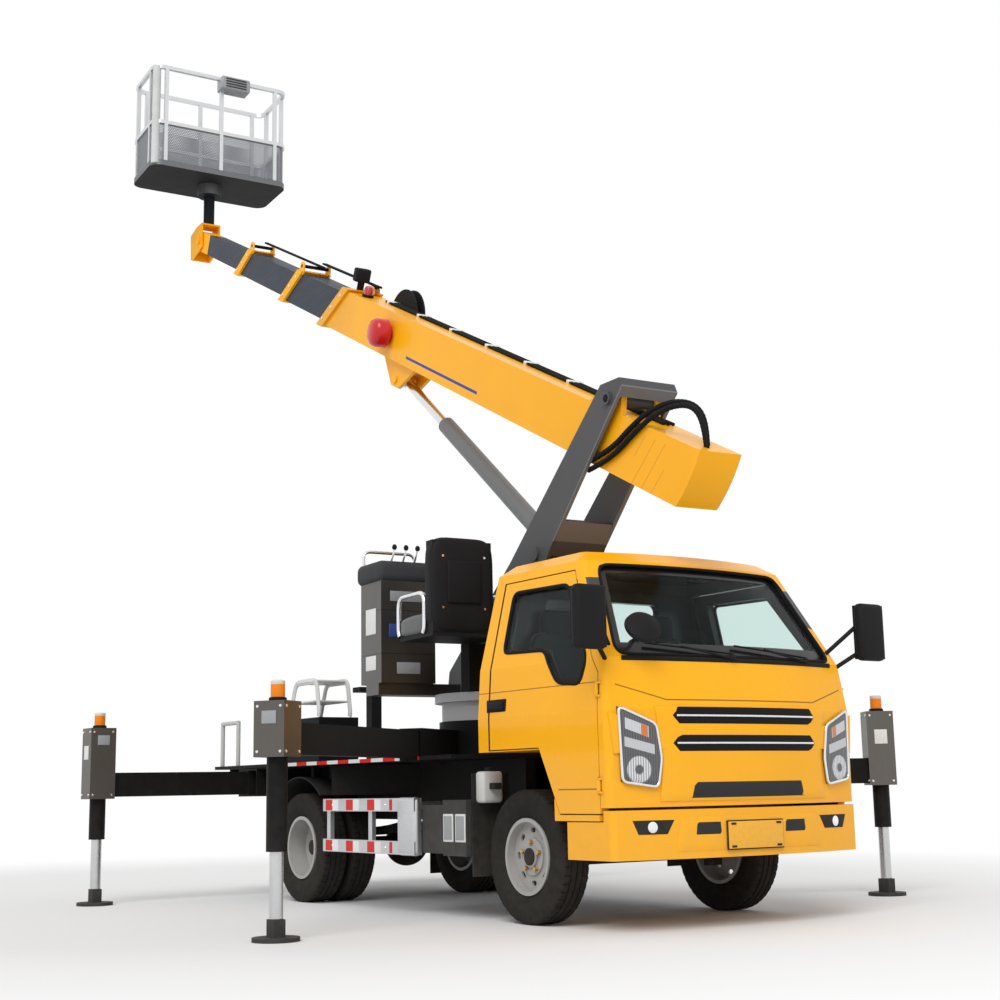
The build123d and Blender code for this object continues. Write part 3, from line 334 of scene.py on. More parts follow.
class Wire:
    """A shader socket. Each operator used on it adds a Math node, and so does each of the masks below."""

    def __init__(self, nodes, socket):
        self.nodes, self.socket = nodes, socket

    def math(self, operation, first, second=0.0, clamp=False):
        return self.nodes.node("ShaderNodeMath", {"operation": operation, "use_clamp": clamp}, {0: first, 1: second})

    def __add__(self, other):
        return self.math("ADD", self, other)

    __radd__ = __add__

    def __mul__(self, other):
        return self.math("MULTIPLY", self, other)

    __rmul__ = __mul__

    def __sub__(self, other):
        return self.math("SUBTRACT", self, other)

    def __rsub__(self, other):
        return self.math("SUBTRACT", other, self)

    def __truediv__(self, other):
        return self.math("DIVIDE", self, other)

    def __rtruediv__(self, other):
        return self.math("DIVIDE", other, self)

    def __pow__(self, other):
        return self.math("POWER", self, other)

    def __abs__(self):
        return self.math("ABSOLUTE", self)

    def __mod__(self, other):
        return self.math("FLOORED_MODULO", self, other)

    def sine(self):
        return self.math("SINE", self)

    def most(self, other):
        return self.math("MAXIMUM", self, other)

    def above(self, edge, soft=0.002):
        """1 where the value is over an edge, 0 under it, with a soft step."""
        return self.math("ADD", (self - edge) * (1 / soft), 0.5, clamp=True)

    def below(self, edge, soft=0.002):
        """1 where the value is under an edge."""
        return 1 - self.above(edge, soft)

    def band(self, low, high, soft=0.002):
        """1 where the value lies between two edges."""
        return self.above(low, soft) * self.below(high, soft)


class Nodes:
    """A node tree in the making."""

    def __init__(self, tree):
        self.tree = tree

    def node(self, kind, settings=None, sockets=None, output=0):
        """A node of a type: its settings come first, then the values or links of its sockets."""
        made = self.tree.nodes.new(kind)
        for key, value in (settings or {}).items():
            setattr(made, key, value)
        for key, value in (sockets or {}).items():
            self.link(value, made.inputs[key])
        return made if output is None else Wire(self, made.outputs[output])

    def link(self, value, socket):
        """Links a wire to a socket, or sets a plain value on it."""
        if isinstance(value, Wire):
            self.tree.links.new(value.socket, socket)
        else:
            socket.default_value = value


class Paint(Nodes):
    """A material in the making: its nodes, its surface shader and the places they read."""

    def __init__(self, name, constants):
        self.material = bpy.data.materials.new(name)
        self.material.use_nodes = True
        super().__init__(self.material.node_tree)
        self.shader = self.tree.nodes["Principled BSDF"]
        for socket, value in constants.items():
            self.shader.inputs[socket].default_value = value
        self.spot = self.node("ShaderNodeTexCoord", output="Object")
        self.facing = self.node("ShaderNodeTexCoord", output="Normal")
        parts = self.node("ShaderNodeSeparateXYZ", sockets={0: self.spot}, output=None)
        self.x, self.y, self.z = (Wire(self, s) for s in parts.outputs)

    def feed(self, socket, value):
        """Gives the surface shader's socket its value."""
        self.link(value, self.shader.inputs[socket])

    def mix(self, share, first, second):
        """The second colour by a share over the first."""
        first, second = (c if isinstance(c, Wire) else (*c, 1.0) for c in (first, second))
        return self.node("ShaderNodeMix", {"data_type": "RGBA"}, {0: share, 6: first, 7: second}, output=2)

    def share(self, vector, direction):
        """How much of a vector lies along a direction: their dot product."""
        return self.node("ShaderNodeVectorMath", {"operation": "DOT_PRODUCT"}, {0: vector, 1: tuple(direction)},
                         "Value")

    def over(self, base, *coats):
        """Colours laid over a base in turn, each by its share."""
        for share, colour in coats:
            base = self.mix(share, base, colour)
        return base

    def along(self, direction, origin):
        """How far a place lies along a direction from an origin."""
        return self.share(self.spot, direction) - float(np.dot(direction, origin))

    def turned_to(self, direction):
        """How far the surface faces a direction."""
        return self.share(self.facing, direction)

    def noise(self, scale, detail=3.0, stretch=(1.0, 1.0, 1.0)):
        """Even noise at a scale in waves a metre, drawn out along an axis by a stretch under 1."""
        spot = self.node("ShaderNodeMapping", None, {"Vector": self.spot, "Scale": stretch})
        return self.node("ShaderNodeTexNoise", None, {"Vector": spot, "Scale": scale, "Detail": detail})

    def bump(self, height, strength, distance):
        """A surface direction tilted by a height."""
        return self.node("ShaderNodeBump", None, {"Height": height, "Strength": strength, "Distance": distance})

    def blend(self, share, other):
        """Another shader by a share over the surface shader."""
        both = self.node("ShaderNodeMixShader", None, {0: share, 1: Wire(self, self.shader.outputs[0]), 2: other})
        self.link(both, self.tree.nodes["Material Output"].inputs["Surface"])


dust_colour = (0.30, 0.26, 0.21)
forward, leftward = truck[1][:2]


def shade(colour, by):
    """A colour made lighter or darker."""
    return tuple(min(1.0, c * by) for c in colour)


def sprayed(name, colour, roughness, coat, marks=None, grime=0.22, drift=0.05, shine=0.14):
    """Sprayed paint: the colour drifts a little, the coat has a fine peel, and road dust thins upwards."""
    p = Paint(name, {"Coat Weight": coat, "Coat Roughness": 0.08, "Specular IOR Level": shine})
    wander = p.noise(2.1, 4)
    height = 0.25 * p.noise(260, 2)
    dust = grime * p.z.below(0.75, 0.9) * p.noise(14, 6)
    base = p.mix(wander, shade(colour, 1 - drift), shade(colour, 1 + drift))
    if marks:
        base, height = marks(p, base, height)
    p.feed("Base Color", p.mix(dust, base, dust_colour))
    p.feed("Roughness", roughness + 0.10 * wander + 0.5 * dust)
    p.feed("Normal", p.bump(height, 0.25, 0.002))
    return p.material


def cab_marks(p, base, height):
    """The cab: pressed seams, which are the bonnet's line across the nose and a crease and a sill line on each side,
    and a grey lining inside."""
    x, wide = p.x - axle_x, abs(p.y)
    bonnet = 1.252 + 0.28 * (wide - 0.56).most(0.0)
    seam = abs(p.z - bonnet).below(0.004) * x.above(0.9) * wide.below(0.86)
    for level, half, start in ((1.352, 0.003, -0.33), (0.772, 0.004, 0.48)):
        seam = seam + abs(p.z - level).below(half) * x.band(start, 0.86) * wide.above(0.87)
    base = p.mix(0.75 * seam, base, (0.10, 0.045, 0.004))
    # Grey lining on the faces that look into the cab
    ahead = p.turned_to(forward)
    side = (p.turned_to(leftward) * p.y).below(-0.3, 0.1)
    roof = p.turned_to(-up).above(0.3, 0.1) * p.z.above(1.8)
    front = p.turned_to(-forward).above(0.3, 0.1) * x.above(0.1) * p.z.above(1.0)
    rear = ahead.above(0.7, 0.1) * x.below(-0.2)
    floor = p.turned_to(up).above(0.7, 0.1) * p.z.below(1.45)
    reveal = abs(ahead).above(0.5, 0.1) * p.z.band(1.34, 1.97) * x.band(-0.12, 0.77) * wide.above(0.7)
    lining = side.math("ADD", side + roof + front, rear + floor + reveal, clamp=True)
    return p.mix(lining, base, (0.055, 0.056, 0.060)), height - 2.0 * seam


def boom_marks(p, base, height):
    """The main boom: a plain blue band on its right side, slanted weld lines on its tail and dirt at its head."""
    t, n, y = (p.along(d, boom[0]) for d in boom[1])
    stripe = t.band(1.80, 3.08) * abs(n + 0.372).below(0.011) * y.below(-0.13)
    welds = abs((t + 0.45 * n + 0.62) % 0.11 - 0.055).below(0.004) * t.band(-0.66, -0.33) * n.below(-0.13)
    oil = 0.35 * t.above(4.35, 0.4) * p.noise(30, 5)
    coats = (stripe, (0.02, 0.05, 0.28)), (0.4 * welds, (0.35, 0.16, 0.01)), (oil, (0.30, 0.13, 0.01))
    return p.over(base, *coats), height + 1.5 * welds


def collar_top(high):
    """How far up the top of a collar's lip lies over the boom's pivot line."""
    return boom_middle + high / 2 + collar_lip


def slid(p, base, painted):
    """A slate section with sliding marks on its flanks, and yellow where it is painted."""
    rubbed = 0.25 * p.noise(60, 5, (0.05, 0.05, 1.0)).above(0.58, 0.1)
    base = p.mix(rubbed * (1 - painted), base, (0.075, 0.082, 0.095))
    return p.mix(painted, base, tuple(settings().body_colour))


def section_marks(head, high):
    """A slate boom section: its slanted collar and the ears on it are yellow."""
    def marks(p, base, height):
        t, n = (p.along(d, boom[0]) for d in boom[1][:2])
        slant = collar_slant * high / (high + 2 * collar_lip)
        return slid(p, base, (t + slant * (n - collar_top(high))).above(head - 0.134)), height
    return marks


def tip_marks(p, base, height):
    """The last section: its tip is yellow."""
    return slid(p, base, p.along(boom_along, boom[0]).above(8.66)), height


def carrier_marks(p, base, height):
    """The basket's carrier: yellow cheeks under a dark post."""
    return p.mix(p.z.below(float(tip[2]) + 0.19), base, tuple(settings().body_colour)), height


def deck_marks(p, base, height):
    """The deck: raised lozenges on top, and red and white tape along the edge beside the side guards."""
    u, v = (p.x + p.y) * 34.0 % 1.0, (p.x - p.y) * 34.0 % 2.0
    lozenge = abs(u - 0.5).below(0.14, 0.05) * abs(v - 1.0).below(0.6, 0.1) * p.turned_to(up).above(0.5)
    edge = abs(p.y).above(0.944) * p.x.band(0.45, 2.55)
    tape = p.mix((p.x % 0.32 - 0.16).above(0.0), (0.62, 0.62, 0.60), (0.55, 0.012, 0.012))
    return p.over(base, (edge, tape), (0.5 * lozenge, (0.07, 0.07, 0.072))), height + 3.0 * lozenge


def column_marks_and_highlight(p, base, height):
    """The turret: a pale base ring below the grey column, and a painted highlight along the column's front edge."""
    # Painted highlight: a lighter strip along the column's front edge
    edge = abs(p.along(back, upper[0]) + p.z - 1.243).below(0.012) * p.z.above(2.36)
    return p.over(base, (p.z.below(1.44), (0.42, 0.42, 0.43)), (0.6 * edge, (0.22, 0.23, 0.24))), height


def metal(name, colour, roughness, marks=None, fine=220, grime=0.3, grain=(1.0, 1.0, 0.06)):
    """Bare metal: brushed lines drawn out one way, cloudy gloss, and dust low down."""
    p = Paint(name, {"Specular IOR Level": 0.15})
    lines = p.noise(fine, 3, grain)
    cloud = p.noise(5, 4)
    dust = grime * p.z.below(0.6, 0.8) * p.noise(16, 6)
    base = p.mix(lines, shade(colour, 0.86), shade(colour, 1.08))
    shine, rough, height = 1.0 - 0.8 * dust, roughness + 0.16 * cloud + 0.08 * lines + 0.4 * dust, lines
    if marks:
        base, shine, rough, height = marks(p, base, shine, rough, height)
    p.feed("Base Color", p.mix(0.5 * dust, base, dust_colour))
    p.feed("Metallic", shine)
    p.feed("Roughness", rough)
    p.feed("Normal", p.bump(height, 0.06, 0.001))
    return p.material


def leg_marks(p, base, shine, rough, height):
    """A leg's cover: above its top a ribbed amber lamp on a dark foot, with a pale cap."""
    lamp, foot = p.z.above(1.302), p.z.band(1.281, 1.302)
    ribs = (p.z * 1100.0).sine() * lamp
    cap = p.z.above(1.372)
    base = p.over(base, (lamp, (0.85, 0.24, 0.012)), (foot, (0.03, 0.03, 0.03)), (cap, (0.62, 0.60, 0.55)))
    return base, shine * (1 - lamp) * (1 - foot), rough * (1 - 0.5 * lamp), height + 6.0 * ribs


def jack_marks(p, base, shine, rough, height):
    """A jack: chromed rod above a black foot."""
    foot = p.z.below(0.118)
    return p.mix(foot, base, (0.035, 0.035, 0.036)), shine * (1 - 0.8 * foot), rough + 0.4 * foot, height


def guard_marks(p, base, shine, rough, height):
    """A side guard: red and white reflectors along both rails."""
    x = p.x - axle_x
    cell = (x + 2.30) % 0.300
    rail = abs(p.z - 0.4175).below(0.036) + abs(p.z - 0.6925).below(0.036)
    rail = rail * abs(p.y).above(0.9485) * x.band(-2.32, -1.36)
    red, white = rail * cell.below(0.10), rail * cell.band(0.10, 0.185)
    base = p.mix(red, p.mix(white, base, (0.78, 0.78, 0.76)), (0.62, 0.02, 0.012))
    return base, shine * (1 - red) * (1 - white), rough, height


def console_marks(p, base, shine, rough, height):
    """The console: seams of its doors across a brushed body."""
    seam = abs(p.z - 1.72).below(0.003) + abs(p.z - 2.02).below(0.003)
    return p.mix(0.7 * seam, base, (0.05, 0.05, 0.05)), shine, rough, height - 3.0 * seam


def moulded(name, colour, roughness=0.5, grain=420, marks=None, grime=0.2):
    """Moulded plastic or rubber: a fine pebble grain, faded where it catches the weather."""
    p = Paint(name, {"Specular IOR Level": 0.09})
    height, fade = p.noise(grain, 2), p.noise(3, 4)
    dust = grime * p.z.below(0.7, 0.8) * p.noise(18, 6)
    base = p.mix(fade, shade(colour, 0.8), shade(colour, 1.5))
    if marks:
        base, height = marks(p, base, height)
    p.feed("Base Color", p.mix(dust, base, dust_colour))
    p.feed("Roughness", roughness + 0.14 * fade + 0.4 * dust)
    p.feed("Normal", p.bump(height, 0.18, 0.001))
    return p.material


def deck_gear_marks(p, base, height):
    """Gear on the deck: the grab rail is bright."""
    return p.mix(p.y.below(-0.885), base, (0.52, 0.52, 0.50)), height


def mesh_marks(p, base, height):
    """The grille: two lines of fins in the slots, and a woven lattice in the lower opening."""
    low = p.z.below(0.90)
    one, other = (abs(v * 55.0 % 1.0 - 0.5).above(0.36, 0.05) for v in (p.y + p.z, p.y - p.z))
    wires = one.most(other)
    fins = (p.y * 250.0).sine().above(0.2, 0.5) * (1 - low)
    base = p.mix(low * wires, base, (0.055, 0.055, 0.057))
    return base, height + 4.0 * low * wires + 3.0 * fins


def lamp_finish(name):
    """Lamp units: grey bowl, a round reflector below, a pale bar across and a small amber lamp above."""
    p = Paint(name, {"Coat Weight": 0.6, "Coat Roughness": 0.02})
    wide = abs(p.y)
    far = ((wide - 0.762) ** 2.0 + (p.z - 0.872) ** 2.0) ** 0.5
    bowl = far.below(0.072, 0.006)
    bulb = far.below(0.026, 0.008)
    bar = abs(p.z - 1.000 - 0.25 * (wide - 0.75)).below(0.026, 0.004) * wide.band(0.665, 0.845)
    top = abs(p.z - 1.092 - 0.35 * (wide - 0.75)).below(0.030, 0.004) * wide.band(0.700, 0.840)
    amber = top * wide.band(0.705, 0.745)
    # Painted light and shade: the flutes give lit and shaded stripes in the housing and the reflector, and a bump
    flutes_and_shading = (p.y * 420.0).sine().above(0.0, 0.8)
    base = p.mix(flutes_and_shading, (0.045, 0.048, 0.052), (0.10, 0.105, 0.11))
    mirror = p.mix(flutes_and_shading, (0.34, 0.35, 0.37), (0.72, 0.74, 0.76))
    p.feed("Base Color", p.over(base, (bowl, mirror), (bulb, (0.10, 0.10, 0.11)), (bar, (0.50, 0.52, 0.54)),
                                (top, (0.55, 0.57, 0.60)), (amber, (0.60, 0.17, 0.02))))
    p.feed("Metallic", 0.6 * bowl)
    p.feed("Roughness", 0.34 - 0.2 * bowl)
    p.feed("Normal", p.bump(0.5 * flutes_and_shading + bowl + bar, 0.5, 0.004))
    return p.material


def glass_finish(name, screen):
    """Window glass: clear with a green tint and faint dust; the windscreen has a black band round its edge."""
    p = Paint(name, {"Base Color": (0.78, 0.88, 0.86, 1.0), "Transmission Weight": 1.0, "IOR": 1.12})
    p.feed("Roughness", 0.015 + 0.05 * p.noise(7, 5))
    if not screen:
        return p.material
    band = p.node("ShaderNodeBsdfPrincipled", None,
                  {"Base Color": (0.008, 0.008, 0.009, 1.0), "Roughness": 0.22}, output="BSDF")
    half = 0.825 - (p.z - 1.505) * 0.2455
    edge = (abs(p.y) - half).above(-0.055, 0.004)
    edge = edge.most(p.z.below(1.575, 0.004)).most(p.z.above(2.005, 0.004))
    p.blend(edge * p.x.above(3.7), band)
    return p.material


def panel_finish(name):
    """Basket panels: grey sheet with rows of round holes, by two lattices, one for each way a panel runs."""
    p = Paint(name, {"Metallic": 1.0})
    pitch = 0.021
    high = p.z / (0.866 * pitch)

    def holes(direction):
        row = (high - high % 1.0) % 2.0
        u, v = (p.along(direction, basket[0]) / pitch + 0.5 * row) % 1.0 - 0.5, high % 1.0 - 0.5
        return (u * u + 0.75 * v * v).below(0.075, 0.02)

    facing_back = abs(p.turned_to(back)).above(0.5)
    open_share = facing_back * holes(left) + (1 - facing_back) * holes(back)
    cloud = p.noise(6, 4)
    p.feed("Base Color", p.mix(cloud, (0.20, 0.21, 0.23), (0.30, 0.31, 0.33)))
    p.feed("Roughness", 0.34 + 0.16 * cloud)
    p.feed("Alpha", 1 - open_share)
    return p.material


def floor_marks_and_shade(p, base, shine, rough, height):
    """The basket's floor: pale edge, and a ribbed underside painted dark as shade."""
    # Painted shade: the faces that look down are painted near black and lose their shine
    under = p.turned_to(-up).above(0.5)
    ribs = (p.along(left, basket[0]) * 140.0).sine() * under
    return p.mix(under, base, (0.012, 0.012, 0.013)), shine * (1 - under), rough + 0.2 * under, height + 6.0 * ribs


def cloth_finish(name, colour):
    """Seat cloth: a plain weave of sine waves along the three axes, worn in patches."""
    p = Paint(name, {"Sheen Weight": 0.3, "Roughness": 0.9})
    weave = (p.x * 2600.0).sine() * (p.y * 2600.0).sine() + (p.z * 2600.0).sine()
    worn = p.noise(7, 4)
    p.feed("Base Color", p.mix(worn, shade(colour, 0.75), shade(colour, 1.4)))
    p.feed("Normal", p.bump(weave, 0.2, 0.0008))
    return p.material


def tyre_marks(p, base, height):
    """A tyre: cloudy brown dust all over."""
    return p.mix(0.5 * p.noise(22, 6), base, (0.030, 0.026, 0.022)), height


def lens_finish(name, colour):
    """A lamp's lens: ribbed and lightly clouded."""
    p = Paint(name, {"Coat Weight": 0.8, "Roughness": 0.2})
    p.feed("Base Color", p.mix(p.noise(30, 3), shade(colour, 0.85), shade(colour, 1.15)))
    p.feed("Normal", p.bump((p.z * 900.0).sine(), 0.3, 0.002))
    return p.material


def plate_finish(name, colour):
    """A blank plate: satin face with faint scuffs."""
    p = Paint(name, {"Coat Weight": 0.2})
    scuff = p.noise(45, 5)
    p.feed("Base Color", p.mix(scuff, shade(colour, 0.85), shade(colour, 1.08)))
    p.feed("Roughness", 0.3 + 0.25 * scuff)
    return p.material


# What makes each finish, and the values it takes after its name, in the order in which its maker lists them. A colour
# that a user may change stands here as the name of its setting.
recipes = {
    sprayed: {
        "cab_yellow": ("body_colour", 0.22, 0.25, cab_marks),
        "plain_yellow": ("body_colour", 0.24, 0.22),
        "boom_yellow": ("body_colour", 0.28, 0.15, boom_marks),
        "second_slate": ("section_colour", 0.42, 0.03, section_marks(*collars["second"][:2])),
        "third_slate": ("section_colour", 0.42, 0.03, section_marks(*collars["third"][:2])),
        "fourth_slate": ("section_colour", 0.42, 0.03, tip_marks),
        "carrier_dark": ((0.010, 0.011, 0.014), 0.4, 0.03, carrier_marks, 0.22, 0.05, 0.08),
        "column_grey": ((0.075, 0.077, 0.081), 0.36, 0.06, column_marks_and_highlight, 0.22, 0.12),
        "barrel_grey": ((0.15, 0.155, 0.16), 0.34, 0.08, None, 0.22, 0.12),
        "frame_black": ((0.006, 0.006, 0.0065), 0.40, 0.0, None, 0.10, 0.3, 0.07),
        "deck_black": ((0.008, 0.008, 0.009), 0.5, 0.0, deck_marks, 0.08, 0.3, 0.07),
        "gear_black": ((0.008, 0.008, 0.009), 0.45, 0.0, deck_gear_marks, 0.08, 0.3, 0.07),
        "box_grey": ((0.030, 0.031, 0.033), 0.42, 0.0, None, 0.25, 0.2, 0.1),
        "cast_iron": ((0.022, 0.021, 0.020), 0.6, 0.0, None, 0.2, 0.3, 0.07),
        "wheel_silver": ((0.38, 0.38, 0.37), 0.3, 0.1, None, 0.30, 0.06),
        "alarm_red": ((0.56, 0.012, 0.016), 0.25, 0.6),
    },
    metal: {
        # Painted reflection: these two stainless finishes are made dark to paint in the dark things they reflect
        "leg_stainless": ((0.135, 0.125, 0.113), 0.28, leg_marks),
        "console_stainless": ((0.135, 0.130, 0.122), 0.28, console_marks),
        "rod_chrome": ((0.78, 0.79, 0.80), 0.06, None, 90),
        "jack_chrome": ((0.62, 0.63, 0.64), 0.12, jack_marks, 90),
        "guard_alloy": ((0.66, 0.67, 0.69), 0.28, guard_marks, 220, 0.3, (0.06, 1.0, 1.0)),
        "basket_alloy": ((0.68, 0.69, 0.70), 0.30),
        "floor_alloy": ((0.18, 0.185, 0.19), 0.36, floor_marks_and_shade),
        "brass": ((0.62, 0.42, 0.16), 0.25, None, 220, 0.1),
        "bright_trim": ((0.82, 0.83, 0.84), 0.08, None, 60, 0.0),
        "mirror_glass": ((0.88, 0.89, 0.90), 0.02, None, 20, 0.0),
    },
    moulded: {
        "black_plastic": ((0.012, 0.012, 0.013),),
        "grille_black": ((0.008, 0.008, 0.009), 0.5, 420, mesh_marks, 0.05),
        "seat_black": ((0.013, 0.013, 0.014),),
        "dash_grey": ((0.045, 0.046, 0.05), 0.6),
        "rubber": ((0.011, 0.011, 0.011), 0.7, 300),
        "tyre_rubber": ((0.010, 0.010, 0.0105), 0.8, 260, tyre_marks, 0.10),
        "white_plastic": ((0.52, 0.53, 0.52), 0.4),
    },
    cloth_finish: {"pad_grey": ((0.075, 0.077, 0.08),), "cab_cloth": ((0.030, 0.031, 0.034),)},
    lens_finish: {"amber_lens": ((0.88, 0.25, 0.01),), "red_lens": ((0.45, 0.01, 0.012),)},
    plate_finish: {
        "plate_yellow": ((0.86, 0.42, 0.02),), "plate_white": ((0.70, 0.70, 0.68),),
        "plate_grey": ((0.30, 0.31, 0.32),), "plate_blue": ((0.03, 0.07, 0.28),),
    },
    glass_finish: {"screen_glass": (True,), "door_glass": (False,)},
    lamp_finish: {"lamp_units": ()},
    panel_finish: {"perforated_sheet": ()},
}
made = {}


def material(name):
    """A finish by name, made once."""
    if name not in made:
        maker, values = next((maker, table[name]) for maker, table in recipes.items() if name in table)
        made[name] = maker(name, *(getattr(settings(), v) if isinstance(v, str) else v for v in values))
    return made[name]


# The finish of each CAD node, whose name here leaves out its side or its leg
solid_finishes = {
    "frame_black": "chassis_frame front_axle rear_axle leaf_springs outrigger_frame outrigger_beam",
    "cast_iron": "engine_block knuckle", "tyre_rubber": "front_tyre rear_tyre",
    "wheel_silver": "front_wheel rear_wheel", "cab_yellow": "cab_shell cab_front door",
    "plain_yellow": "headlamps bumper", "black_plastic": "mirrors mudguards steering_wheel", "grille_black": "grille",
    "door_glass": "door_glass", "screen_glass": "cab_glass", "dash_grey": "dashboard", "cab_cloth": "cab_seats",
    "guard_alloy": "side_guards", "box_grey": "side_boxes", "deck_black": "deck", "leg_stainless": "leg_cover",
    "jack_chrome": "jack", "gear_black": "deck_fittings", "column_grey": "turret_column",
    "console_stainless": "control_console", "seat_black": "operator_seat", "boom_yellow": "boom_main",
    "second_slate": "boom_second", "third_slate": "boom_third", "fourth_slate": "boom_fourth",
    "rod_chrome": "lift_rod", "barrel_grey": "lift_barrel", "carrier_dark": "basket_carrier",
    "floor_alloy": "basket_floor", "basket_alloy": "basket_frame",
}
node_finish = {node: finish for finish, nodes in solid_finishes.items() for node in nodes.split()}


# Settings and steps


class CherrySettings(bpy.types.PropertyGroup):
    """Sizes, colours and light a user may change."""

    body_colour: bpy.props.FloatVectorProperty(
        name="Body colour", description="Paint of the cab and the main boom", default=(0.955, 0.435, 0.006), size=3,
        min=0, max=1, subtype="COLOR")
    section_colour: bpy.props.FloatVectorProperty(
        name="Section colour", description="Paint of the sliding boom sections", default=(0.026, 0.034, 0.050), size=3,
        min=0, max=1, subtype="COLOR")
    tread_depth: bpy.props.FloatProperty(
        name="Tread depth", description="Depth of the grooves in the tyres", default=0.009, min=0.002, max=0.014,
        unit="LENGTH")
    tread_blocks: bpy.props.IntProperty(
        name="Tread blocks", description="Blocks round the edge of each tyre", default=48, min=24, max=72)
    hose_diameter: bpy.props.FloatProperty(
        name="Hose diameter", description="Thickness of the hoses at the boom's tail", default=0.034, min=0.02,
        max=0.04, unit="LENGTH")
    pipe_radius: bpy.props.FloatProperty(
        name="Pipe radius", description="Radius of the pipes along the boom's top", default=0.011, min=0.006,
        max=0.016, unit="LENGTH")
    pad_crown: bpy.props.FloatProperty(
        name="Pad crown", description="How far the seat pads swell", default=0.03, min=0.01, max=0.05, unit="LENGTH")
    sun_strength: bpy.props.FloatProperty(
        name="Key light", description="Strength of the soft key light", default=1.7, min=0, max=6)
    sky_strength: bpy.props.FloatProperty(
        name="Fill light", description="Strength of the even light from all round", default=0.62, min=0, max=2)


def settings():
    """The scene's settings."""
    return bpy.context.scene.cherry


class CHERRY_OT_stage(bpy.types.Operator):
    """Floor, light, background and the camera at the photograph's place"""

    bl_idname = "cherry.stage"
    bl_label = "Stage"

    def execute(self, context):
        scene = context.scene
        scene.view_settings.view_transform = "Standard"
        data = bpy.data.cameras.new("photo_camera")
        data.lens, data.sensor_width, data.clip_end = 56.05, 36.0, 300.0
        camera = bpy.data.objects.new("photo_camera", data)
        yaw, pitch, roll = (math.radians(v) for v in (56.07, 10.52, -1.04))
        look = Vector((-math.sin(yaw) * math.cos(pitch), math.cos(yaw) * math.cos(pitch), math.sin(pitch)))
        right = Vector((math.cos(yaw), math.sin(yaw), 0.0))
        high = right.cross(look)
        r, u = right * math.cos(roll) + high * math.sin(roll), high * math.cos(roll) - right * math.sin(roll)
        turned_by = Matrix((r, u, -look)).transposed().to_4x4()
        camera.matrix_world = Matrix.Translation((11.264, -6.148, 0.781)) @ turned_by
        scene.collection.objects.link(camera)
        scene.camera = camera

        light = bpy.data.lights.new("key", "SUN")
        light.energy, light.angle = settings().sun_strength, math.radians(35)
        key = bpy.data.objects.new("key", light)
        key.rotation_euler = Vector((-0.55, 0.62, -0.80)).to_track_quat("-Z", "Y").to_euler()
        scene.collection.objects.link(key)

        # A round floor of rings, a hair under the wheels, white from some way out
        radius = np.concatenate([np.linspace(0.5, 16, 24), np.linspace(20, 90, 10)])[:, None]
        spokes = 72
        x, y = (ring(1.0, spokes) * (1, -1)).T
        flat, faces = grid(rows(radius * x, radius * y, -0.0005), ends=False)
        faces.append(list(range(spokes))[::-1])
        mesh = bpy.data.meshes.new("floor")
        mesh.from_pydata(flat.tolist(), [], faces)
        floor = bpy.data.objects.new("floor", mesh)
        scene.collection.objects.link(floor)
        p = Paint("floor_pale", {"Specular IOR Level": 0.1})
        grain = p.noise(60, 3)
        p.feed("Base Color", p.mix(grain, (0.80, 0.80, 0.80), (0.84, 0.84, 0.84)))
        p.feed("Roughness", 0.8 + 0.1 * grain)
        far = ((p.x + 0.3) * (p.x + 0.3) + p.y * p.y) ** 0.5
        white = (1.0, 1.0, 1.0, 1.0)
        p.blend(far.above(6.4, 3.4), p.node("ShaderNodeEmission", None, {"Color": white, "Strength": 1.0}))
        mesh.materials.append(p.material)

        # White wherever the camera looks, straight on, in a gloss or through glass, and an even fill elsewhere
        scene.world = bpy.data.worlds.new("studio")
        scene.world.use_nodes = True
        sky = Nodes(scene.world.node_tree)
        sky.tree.nodes.clear()
        rays = sky.node("ShaderNodeLightPath", output=None).outputs
        camera_ray, glass_ray, gloss_ray = (
            Wire(sky, rays[name]) for name in ("Is Camera Ray", "Is Transmission Ray", "Is Glossy Ray"))
        fill, plain = (sky.node("ShaderNodeBackground", None, {"Color": white, "Strength": strength})
                       for strength in (settings().sky_strength, 1.0))
        both = sky.node("ShaderNodeMixShader", None, {0: camera_ray.most(glass_ray).most(gloss_ray), 1: fill, 2: plain})
        sky.link(both, sky.node("ShaderNodeOutputWorld", output=None).inputs["Surface"])
        return {"FINISHED"}


class CHERRY_OT_finishes(bpy.types.Operator):
    """Finishes on the solids"""

    bl_idname = "cherry.finishes"
    bl_label = "Finishes"

    def execute(self, context):
        for node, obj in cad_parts.items():
            end = next((end for end in (*legs, "right", "left") if node.endswith("_" + end)), "")
            obj.data.materials.clear()
            obj.data.materials.append(material(node_finish[node.removesuffix("_" + end)]))
        return {"FINISHED"}


